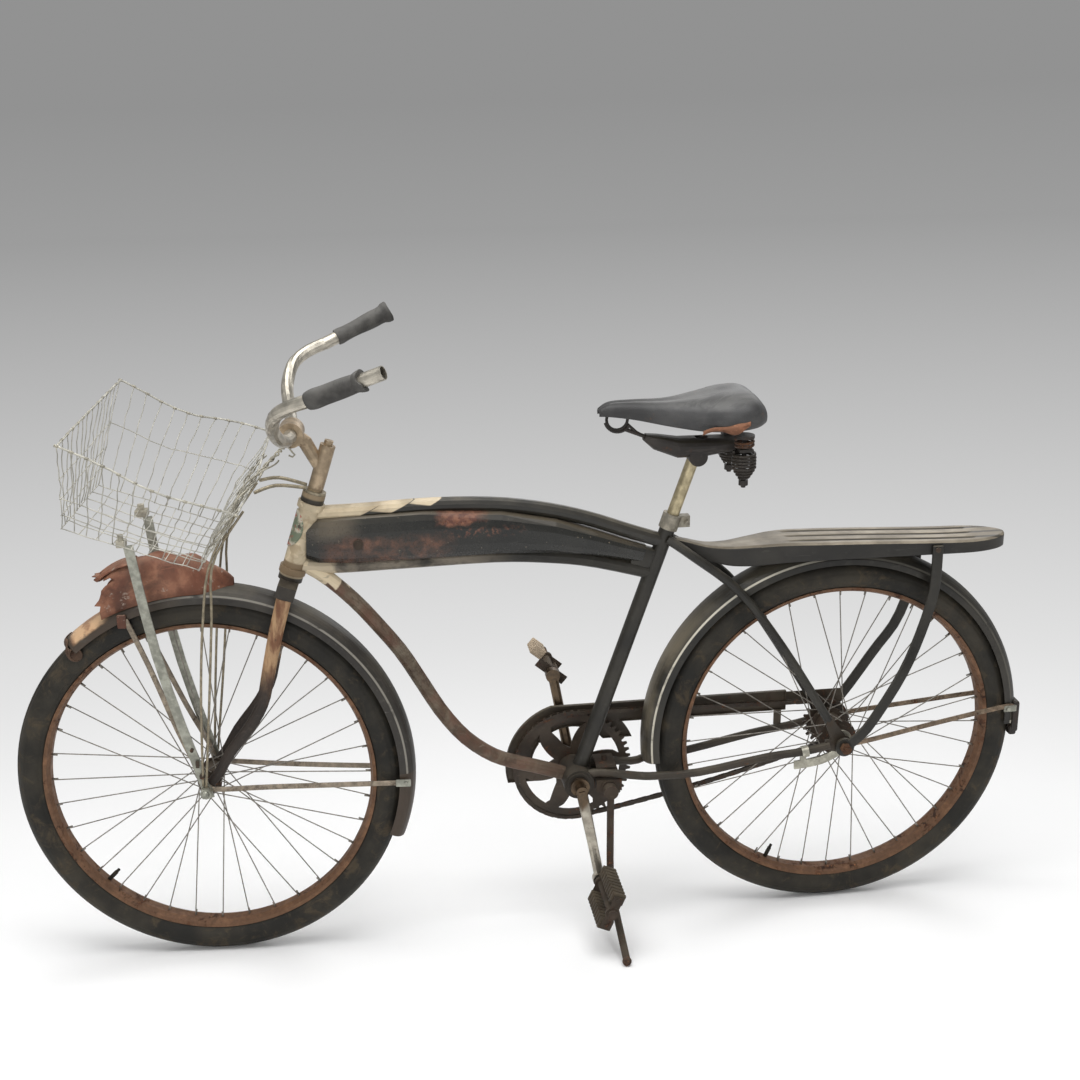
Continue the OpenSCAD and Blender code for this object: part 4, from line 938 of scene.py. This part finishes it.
def leather():
    f = Finish("old_leather")
    base = f.mix(f.spots(0.35, 0.7, 16, 6), (0.022, 0.022, 0.023), (0.055, 0.054, 0.053))
    rub = f.ease(f.noise(9, 5) + f.facing_up() * 0.35, 0.72, 0.95)
    base = f.mix(rub * 0.7, base, (0.125, 0.123, 0.118))
    scuff = f.spots(0.5, 0.62, 26, 7, 0.7, 0.8, vector=f.stretched((0.5, 1, 1))) * 0.5
    base = f.mix(scuff, base, (0.02, 0.019, 0.019))
    x = f.upright("frame")[0]
    base = f.mix(f.ease(x, 300, 380) * 0.5, base, (0.018, 0.017, 0.016))
    stain = f.spots(0.62, 0.7, 40, 6, 0.7) * 0.5
    base = f.mix(stain, base, (0.09, 0.05, 0.03))
    grain = f.cells(620, "SMOOTH_F1") * 0.5 + f.noise(45, 6) * 0.5
    return f.finish(base, (0.42 + f.noise(30, 4) * 0.24 + rub * 0.1).held(), 0.0, grain, 0.0012,
                    Coat_Weight=0.12, Coat_Roughness=0.35)


cover = thickened(piece("saddle_cover", sheet(36, 48, saddle_shape), "frame", leather(),
                        parked, replaces=("saddle",)), 0.004, 0.0)
soft = cover.modifiers.new("smooth", "SUBSURF")
soft.levels = soft.render_levels = 1

# %% [markdown]
# ## Saddle hardware
# A wire ring hangs from the nose, and a rusty plate has worked out from under the left skirt. The plate
# is a bent strip rather than a sculpted lump, because it is thin and shows its edge.

# %% saddle hardware
RING_MIDDLE, RING_HALF = Vector((405.3, 0, 938.5)), 18
ring = [RING_MIDDLE + RING_HALF * Vector((math.cos(math.tau * t), 0, math.sin(math.tau * t)))
        for t in shares(20)]
wires("saddle_ring", [ring, [(388, 0, 930), (372, 0, 915), (352, 0, 903)]], 2.6, "frame", chassis,
      parked, round_off=2)


def side_plate(u, v):
    """A bent strip under the left skirt, swelling to a rolled lump at its rear"""
    x = 274 - 76 * u
    lump = math.exp(-((u - 0.72) / 0.2) ** 2)
    z = 926 + 15 * u + 3 * math.sin(7 * u)
    a = math.radians(-100 + 200 * v)
    return Vector((x, 68 + 15 * u + (3 + 8 * lump) * math.cos(a), z + (3.5 + 6.5 * lump) * math.sin(a)))


bright_rust = aged("bright_rust", (0.3, 0.13, 0.07), 0.5, 60, 0.8, 0.3, dust_colour=(0.42, 0.22, 0.13))
thickened(piece("saddle_side_plate", sheet(24, 12, side_plate), "frame", bright_rust,
                parked), SHEET)

# %% [markdown]
# ## Carrier sheet
# One pressed sheet: round at the tail, grooved along its top, with a skirt all round. At its front it
# narrows, dips and sweeps up to the seat cluster. A bevelled solid could not follow that sweep, so it is
# one grid whose outer strips fold down as the skirt, thickened afterwards.

# %% carrier sheet
CARRIER_HALF = [(50, 46), (110, 43.5), (150, 37), (190, 28), (225, 20), (262, 13), (304, 10)]
CARRIER_TOP = [(-206, 703), (50, 713), (110, 715), (150, 712), (190, 708), (225, 706), (262, 712),
               (304, 728)]
CARRIER_SKIRT = [(-206, 22), (50, 31), (110, 34), (150, 36), (190, 36), (225, 31), (262, 23), (304, 11)]


def along_row(row, x):
    """Value at x of a row of (x, value) pairs, level before the first"""
    if x <= row[0][0]:
        return row[0][1]
    for (a, p), (b, q) in zip(row, row[1:]):
        if x <= b:
            t = (x - a) / (b - a)
            t = t * t * (3 - 2 * t) * 0.35 + t * 0.65
            return p + (q - p) * t
    return row[-1][1]


def eased_row(row, x):
    """The same value with its corners rounded off"""
    return sum(along_row(row, x + d) for d in (-24, -12, 0, 12, 24)) / 5


def carrier_shape(u, v):
    if u < 0.22:
        a = math.pi / 2 * (1 - u / 0.22)
        x, half = -206 - 90 * math.sin(a), 46 * math.cos(a)
    else:
        x = -206 + 510 * (u - 0.22) / 0.78
        half = eased_row(CARRIER_HALF, x) + 0.001
    top, skirt = eased_row(CARRIER_TOP, x), eased_row(CARRIER_SKIRT, x)
    fall = max(0.0, abs(v - 0.5) - 0.34) / 0.16
    across = (v - 0.5) / 0.34 * half if fall == 0 else math.copysign(half, v - 0.5)
    groove = 0.0
    if fall == 0 and -235 < x < 105:
        groove = 2.2 * max(0.0, 1 - (abs((across + 13) % 26 - 13) / 4.6) ** 2)
    round_off = 2.5 * max(0.0, 1 - (half - abs(across)) / 6) if fall == 0 else 2.5
    return Vector((x, across, top - groove - round_off - fall * (skirt - 2.5)))


rack = piece("carrier_sheet", sheet(110, 76, carrier_shape), "frame", carrier, parked,
             replaces=("rack",))
smoothed(thickened(rack, 0.0018), 50)

# %% [markdown]
# ## Broken lamp
# The lamp on the front mudguard has lost its lens and half its mouth. The shell is thin sheet, so it
# is a bent grid with a torn front edge, thickened afterwards.

# %% broken lamp
LAMP_X = [1057, 1086, 1120, 1160, 1209, 1250, 1286]
LAMP_TOP = [690, 716, 731, 738, 735, 716, 701]
LAMP_HALF = [4, 20, 28, 31, 32, 31, 29]


def lamp_shape(u, v):
    side = abs(v - 0.5) * 2
    torn = 1 - 0.13 * math.exp(-((side - 0.5) / 0.16) ** 2) - 0.04 * side
    torn -= 0.02 * math.sin(v * 61) + 0.015 * math.sin(v * 113 + 2)
    t = u * (torn if u > 0.8 else 1 - (1 - torn) * (u / 0.8) ** 6)
    x = along_list(LAMP_X, t)
    crown = FRONT_GUARD[1] + math.sqrt(FRONT_GUARD[2] ** 2 - (x - FRONT_GUARD[0]) ** 2)
    low = crown - 12 + 4 * t
    a = math.pi * v
    half, top = along_list(LAMP_HALF, t), along_list(LAMP_TOP, t)
    dent = 3.5 * math.sin(x * 0.11 + v * 7) * math.sin(math.pi * v)
    flare = 3 * max(0.0, side - 0.85) / 0.15
    y = math.copysign(abs(math.cos(a)) ** 0.75, math.cos(a)) * (half + flare)
    return Vector((x, y, low + (top - low) * math.sin(a) ** 0.62 + dent))


def lamp_paint(f, colour, at):
    pink = f.spots(0.4, 0.7, 24, 6, 0.6, 0.3)
    colour = f.mix(pink * 0.8, colour, (0.33, 0.15, 0.085))
    grey = f.spots(0.6, 0.66, 58, 6, 0.7) * 0.7
    scorch = f.spots(0.5, 0.66, 17, 6, 0.7, 0.6) * 0.65
    colour = f.mix(scorch, colour, (0.06, 0.025, 0.016))
    return f.mix(grey, colour, (0.32, 0.26, 0.21)), 0.0


lamp_red = aged("lamp_red", (0.16, 0.055, 0.028), 0.3, 30, 0.55, 0.35, None, lamp_paint, "fork",
                (0.42, 0.27, 0.19), 0.001)
shell = piece("lamp_shell", sheet(72, 40, lamp_shape), "fork", lamp_red, turned,
              replaces=("fender_light",))
thickened(shell, SHEET, 0.0)


def lip_shape(u, v):
    """The flat lip that is left of the lamp's upper mouth"""
    y = (v - 0.5) * 46
    reach = 28 + 4 * math.sin(v * 9) + 2 * math.sin(v * 23)
    return Vector((1218 + (reach + 34) * u, y * (1 - 0.15 * u), 734 - 26 * u * u - 4 * u - y * y * 0.014))


thickened(piece("lamp_lip", sheet(8, 24, lip_shape), "fork", lamp_red, turned), SHEET)

# %% [markdown]
# ## Curled end of the front mudguard
# The sheet's broken end has rolled under itself. Cloth would crease where steel rolls, so this is a
# grid wound round by a formula that follows the arch of the mudguard's section.

# %% curled end


def curl_shape(u, v):
    a = math.radians(8 + 164 * v)
    turn_by = math.radians(300 * u)
    size = 14 - 5 * u + 2 * math.sin(v * 23)
    reach = 319 + 27 * math.sin(a) ** 0.7
    out = reach + 2 - size + size * math.cos(turn_by)
    past = (size * math.sin(turn_by) + 3 * math.sin(v * 17)) / reach
    angle = math.radians(48) - past
    centre = Vector((FRONT_GUARD[0], 33 * math.cos(a) * (1 - 0.03 * u), FRONT_GUARD[1]))
    return centre + out * Vector((math.cos(angle), 0, math.sin(angle)))


dark_scrap = aged("dark_scrap", (0.11, 0.06, 0.035), 0.55, 60, 0.7, 0.15)
thickened(piece("guard_curl", sheet(16, 36, curl_shape), "fork", dark_scrap, turned), SHEET)

# %% [markdown]
# ## Wires tied to the bar
# Two strands run from the basket's rear corner up to the bar, wound round each other, with two looser
# ones about them and a short pair on the right. A broken bit of wire hangs from the clamp as a hook.
# They are stiff wire, so each is a path with a helix round it and nothing is draped.

# %% tied wires


def twisted(path, reach, turns, phase, steps=60):
    """A strand that winds round a path"""
    strand = []
    for k in range(steps + 1):
        t = k / steps
        i = min(int(t * (len(path) - 1)), len(path) - 2)
        a, b = Vector(path[i]), Vector(path[i + 1])
        here, way = a.lerp(b, t * (len(path) - 1) - i), (b - a).normalized()
        out = way.cross(Vector((0, 1, 0))).normalized()
        spin = Matrix.Rotation(math.tau * turns * t + phase, 3, way)
        strand.append(here + spin @ out * reach)
    return strand


tied = [(1062, 108, 786), (1050, 118, 806), (1036, 122, 834), (1020, 116, 862), (1000, 92, 886),
        (982, 62, 902), (966, 40, 915), (958, 30, 922)]
loose = [(1070, 104, 776), (1060, 126, 800), (1042, 140, 830), (1024, 134, 856), (1004, 108, 880),
         (984, 76, 898), (968, 44, 910)]
strands = [twisted(tied, 2.6, 7, k * math.pi) for k in range(2)]
strands += [twisted(loose, 3.2, 2.5, 1.0), twisted(loose, 7.0, 1.5, 3.3)]
hook = [(950, 24, 930), (949, 27, 921), (944, 28, 914), (940, 27, 909), (944, 26, 905), (950, 26, 908)]
wires("tied_wires", strands + [hook], 1.5, "fork", dark_wire)
right_side = [(x, -y * 0.9, z) for x, y, z in loose]
wires("far_wires", [twisted(right_side[:5], 2.4, 3, k * math.pi) for k in range(2)], 1.4, "fork",
      dark_wire)

# %% [markdown]
# ## Head badge
# An oval plate bent round the head tube. Its picture is long gone: only patches of green, red and
# bare metal are left, so it is drawn blank. A thin bent sheet stands proud of the tube, which paint
# on the tube alone would not.

# %% head badge
BADGE_Z = 774


def badge_shape(u, v):
    rise = (v - 0.5) * 66
    half = math.radians(82) * math.sqrt(max(0.0, 1 - (rise / 33.01) ** 2))
    angle = (u - 0.5) * 2 * half
    dome = 19.2 + 1.2 * (1 - (abs(u - 0.5) * 2) ** 2)
    forward = Vector((HEAD_WAY.z, 0, -HEAD_WAY.x)) * math.cos(angle)
    return axis_at(BADGE_Z) + HEAD_WAY * rise + dome * (forward + Vector((0, math.sin(angle), 0)))


f = Finish("badge_enamel")
colour = f.mix(f.spots(0.45, 0.55, 60, 5), (0.15, 0.18, 0.12), (0.46, 0.42, 0.33))
colour = f.mix(f.spots(0.54, 0.62, 75, 4, 0.5, 0.8), colour, (0.36, 0.09, 0.06))
colour = f.mix(f.spots(0.56, 0.64, 110, 6), colour, (0.08, 0.065, 0.05))
badge_enamel = f.finish(colour, 0.45 + f.noise(90, 3) * 0.2, 0.2, f.noise(80, 5), 0.0008)
thickened(piece("head_badge", sheet(20, 28, badge_shape), "frame", badge_enamel, parked),
          0.0012)

# %% [markdown]
# ## Grips
# Old rubber sleeves, lathed about the bar. The left one has slipped inward, is pinched in its middle
# and torn at its mouth. The right one still reaches the bar's end. Lathing keeps their ribs as real
# geometry, and moving the rings' points afterwards squashes and tears them.

# %% grips
CLAMP = Vector((947, 0, 940))
BAR_TIP, BAR_STRAIGHT = CLAMP + Vector((-161, 269, 151)), CLAMP + Vector((-48, 228, 103))
GRIP_BORE, RIB = 11.25, 1.75                         # radius of the bore, and one rib's length
LEFT_RADII = [17.2, 16.6, 14.6, 15.2, 15.8, 15.9, 15.7, 15.2, 14.8, 14.5, 14.4, 14.8, 15.2, 15.0, 13.6]
RIGHT_RADII = [18.4, 17.6, 14.6, 14.2, 14.6, 15.0, 15.1, 15.0, 14.7, 14.3, 13.9, 13.5, 13.3, 13.4, 13.9,
               13.2]


def grip_rubber():
    f = Finish("grip_rubber")
    base = f.mix(f.spots(0.35, 0.7, 30, 6), (0.035, 0.033, 0.03), (0.09, 0.086, 0.078))
    base = f.mix(f.ease(f.facing_up(), 0.2, 0.9) * 0.5, base, (0.15, 0.145, 0.135))
    tar = f.spots(0.6, 0.68, 70, 6, 0.7)
    base = f.mix(tar * 0.7, base, (0.02, 0.018, 0.016))
    return f.finish(base, (0.6 + f.noise(90, 3) * 0.25).held(), 0.0, f.noise(160, 5), 0.0008)


worn_grip = grip_rubber()


def grip(node, mirror, start, radii, tear):
    """A sleeve whose mouth is start in from the bar's tip. radii run inward, four ribs apart, and tear
    is how ragged the mouth is"""
    side = Vector((1, mirror, 1))
    tip, straight = BAR_TIP * side, BAR_STRAIGHT * side
    back = (straight - tip).normalized()
    ribs = 4 * (len(radii) - 1)
    outer = [(along_list(radii, k / ribs) + (0.35 if k % 2 else -0.15), start + k * RIB)
             for k in range(ribs + 1)]
    bm = lathe([(GRIP_BORE, start)] + outer + [(GRIP_BORE, outer[-1][1])], 36, tip, back)
    for v in bm.verts:
        along = (v.co - tip).dot(back)
        out = (v.co - tip) - back * along
        angle = math.atan2(out.z, out.y)
        if along < start + 9:
            v.co += back * tear * max(0.0, math.sin(angle * 2 + 0.6)) * (1 - (along - start) / 9)
        squash = 1 - 0.05 * math.sin(angle * 2 + along * 0.07) if out.length > 12 else 1.0
        v.co = tip + back * (v.co - tip).dot(back) + out * squash
    ob = piece(node + "_worn", bm, "fork", worn_grip, barred, replaces=(node,))
    smoothed(ob, 50)


grip("left_grip", 1, 34, LEFT_RADII, 5)
grip("right_grip", -1, 0, RIGHT_RADII, 1.5)

# %% [markdown]
# ## Pedals
# Each rubber is a stack of bevelled slices, so that its grooves are real. The left pedal keeps both
# rubbers; the right one has broken, with one pale worn block left on bare rusty steel.

# %% pedals
PEDAL_LEN, PEDAL_HALF, ARM_LEN, ARM_Y = 108, 36, 167, 85
ARM_TILT = math.radians(10)                          # the left arm points down and this far back


def pedal_place(side, turn_deg):
    arm = ARM_LEN * Vector((-math.sin(ARM_TILT), 0, -math.cos(ARM_TILT)))
    middle = CRANK + side * (arm + Vector((0, ARM_Y + PEDAL_LEN / 2 + 10, 0)))
    return parked @ Matrix.Translation(middle) @ Matrix.Rotation(math.radians(turn_deg), 4, "Y")


def brick(bm, centre, size, bevel=1.2):
    made = bmesh.ops.create_cube(bm, size=1.0)["verts"]
    bmesh.ops.scale(bm, vec=size, verts=made)
    bmesh.ops.translate(bm, vec=centre, verts=made)
    edges = list({e for v in made for e in v.link_edges})
    bmesh.ops.bevel(bm, geom=edges, offset=bevel, affect="EDGES", segments=2, profile=0.5, material=-1)


def rubber_block(bm, x, y0, y1, tall, deep=20.0, slices=9):
    brick(bm, (x, (y0 + y1) / 2, 0), (deep - 3, y1 - y0, tall - 3), 1.0)
    long = (y1 - y0) / slices
    for k in range(slices):
        brick(bm, (x, y0 + (k + 0.5) * long, 0), (deep, long - 2.2, tall), 1.6)


def pedal_steel(bm, plates):
    stub(bm, (0, -PEDAL_LEN / 2, 0), (0, PEDAL_LEN / 2, 0), 7, 20)
    for y in plates:
        brick(bm, (0, y, 0), (2 * PEDAL_HALF - 8, 3, 18), 1.2)
        stub(bm, (0, y - 3.2, 0), (0, y + 3.2, 0), 12, 20)


pedal_rubber = aged("pedal_rubber", (0.062, 0.045, 0.027), 0.35, 50, 0.7, 0.35, None, None, "frame",
                    (0.17, 0.14, 0.095))
pedal_pale = aged("pedal_pale", (0.5, 0.4, 0.29), 0.12, 50, 0.8, 0.15, (0.3, 0.2, 0.13))
left_place, right_place = pedal_place(1, 66), pedal_place(-1, -40)
edge = PEDAL_LEN / 2 - 3
bm = bmesh.new()
for x in (-26, 26):
    rubber_block(bm, x, -edge + 1.6, edge - 1.6, 25)
smoothed(piece("left_pedal_rubbers", bm, "left_pedal", pedal_rubber, left_place,
               replaces=("left_pedal",)), 40)
bm = bmesh.new()
pedal_steel(bm, (-edge, edge))
stub(bm, (0, edge + 3, 0), (0, edge + 8, 0), 8, 16)
for x in (-26, 26):
    stub(bm, (x, edge - 3, 0), (x, edge + 4.5, 0), 4, 6)
smoothed(piece("left_pedal_steel", bm, "left_pedal", rusty, left_place), 40)
bm = bmesh.new()
rubber_block(bm, 19.5, -edge - 2, -edge + 42, 19, 26, 4)
smoothed(piece("right_pedal_rubber", bm, "right_pedal", pedal_pale, right_place,
               replaces=("right_pedal",)), 40)
bm = bmesh.new()
pedal_steel(bm, (edge - 2, 38 - edge))
stub(bm, (-20, 38 - edge, 0), (-20, edge + 1, 0), 4, 8)
smoothed(piece("right_pedal_steel", bm, "right_pedal", rusty, right_place), 40)

# %% [markdown]
# ## Small fittings
# Nuts, clips and screws: the mudguard stays end in pale clips, the struts in rusty clamps on the
# basket's floor, the tank has a round screw head on each side, and the rear mudguard a bent bracket.
# The tank's tail is a rounded block that closes it against the seat tube. All of them are rods and
# bevelled bricks, because no more than that shows at their size.

# %% small fittings


def fitting(name, body, material, place, rods=(), bricks=(), both=True, rounded=False):
    """Rods and bevelled bricks as one piece. With both they are the left side's, and are mirrored"""
    bm = bmesh.new()
    for side in (-1, 1) if both else (1,):
        mirror = Vector((1, side, 1))
        for centre, size, bevel in bricks:
            brick(bm, Vector(centre) * mirror, size, bevel)
        for start, end, radius, corners in rods:
            stub(bm, Vector(start) * mirror, Vector(end) * mirror, radius, corners)
    ob = piece(name, bm, body, material, place, smooth=rounded)
    return smoothed(ob, 40) if rounded else ob


tail_place = parked @ Matrix.Translation((360, 0, 694)) @ Matrix.Rotation(math.radians(-17.5), 4, "Y")
fitting("tank_screws", "frame", rusty, parked, rounded=True,
        rods=[((847, 25.5, 751), (847, 28.6, 751), 8.5, 20), ((847, 28, 751), (847, 29.6, 751), 5.5, 20)])
fitting("tank_tail", "frame", frame_black, tail_place, both=False, rounded=True,
        bricks=[((0, 0, 0), (40, 24, 36), 6)])
fitting("front_clips", "fork", zinc, turned, [((779, 38, 325), (779, 43, 325), 4, 6)],
        [((784, 37.5, 325), (26, 5, 13), 1.5)])
fitting("rear_clips", "frame", zinc, parked, [((-318, 37, 370), (-318, 42, 370), 4, 6)],
        [((-322, 37, 370), (24, 5, 12), 1.5)])
fitting("rear_bracket", "frame", chassis, parked, both=False,
        bricks=[((-336.5, 12, 350), (13, 44, 60), 4), ((-334, 22, 322), (14, 20, 18), 4)])
fitting("strut_clamps", "fork", dark_wire, turned, both=False,
        rods=[((1219, 90, 778), (1219, 90, 799), 5, 8), ((1218, -80, 780), (1218, -80, 802), 6, 8)],
        bricks=[((1219, 85, 783), (15, 20, 12), 2), ((1218, -85, 786), (22, 22, 12), 2)])
fitting("stay_bolts", "fork", rusty, turned,
        [((1122, 63, 362), (1122, 71, 362), 4.8, 6), ((1136, 63, 410), (1136, 70.4, 410), 3.2, 10)],
        [((1128.5, 68.3, 384), (6, 1.4, 13), 0.5)])
fitting("brace_caps", "fork", lamp_red, turned,
        bricks=[((1241, 36.5, 632), (15, 6, 24), 2)])
fitting("frame_bolts", "frame", rusty, parked,
        [((-155, 46.5, 692), (-155, 56, 692), 5, 6), ((27, 57, 378), (27, 62, 378), 7, 6)])
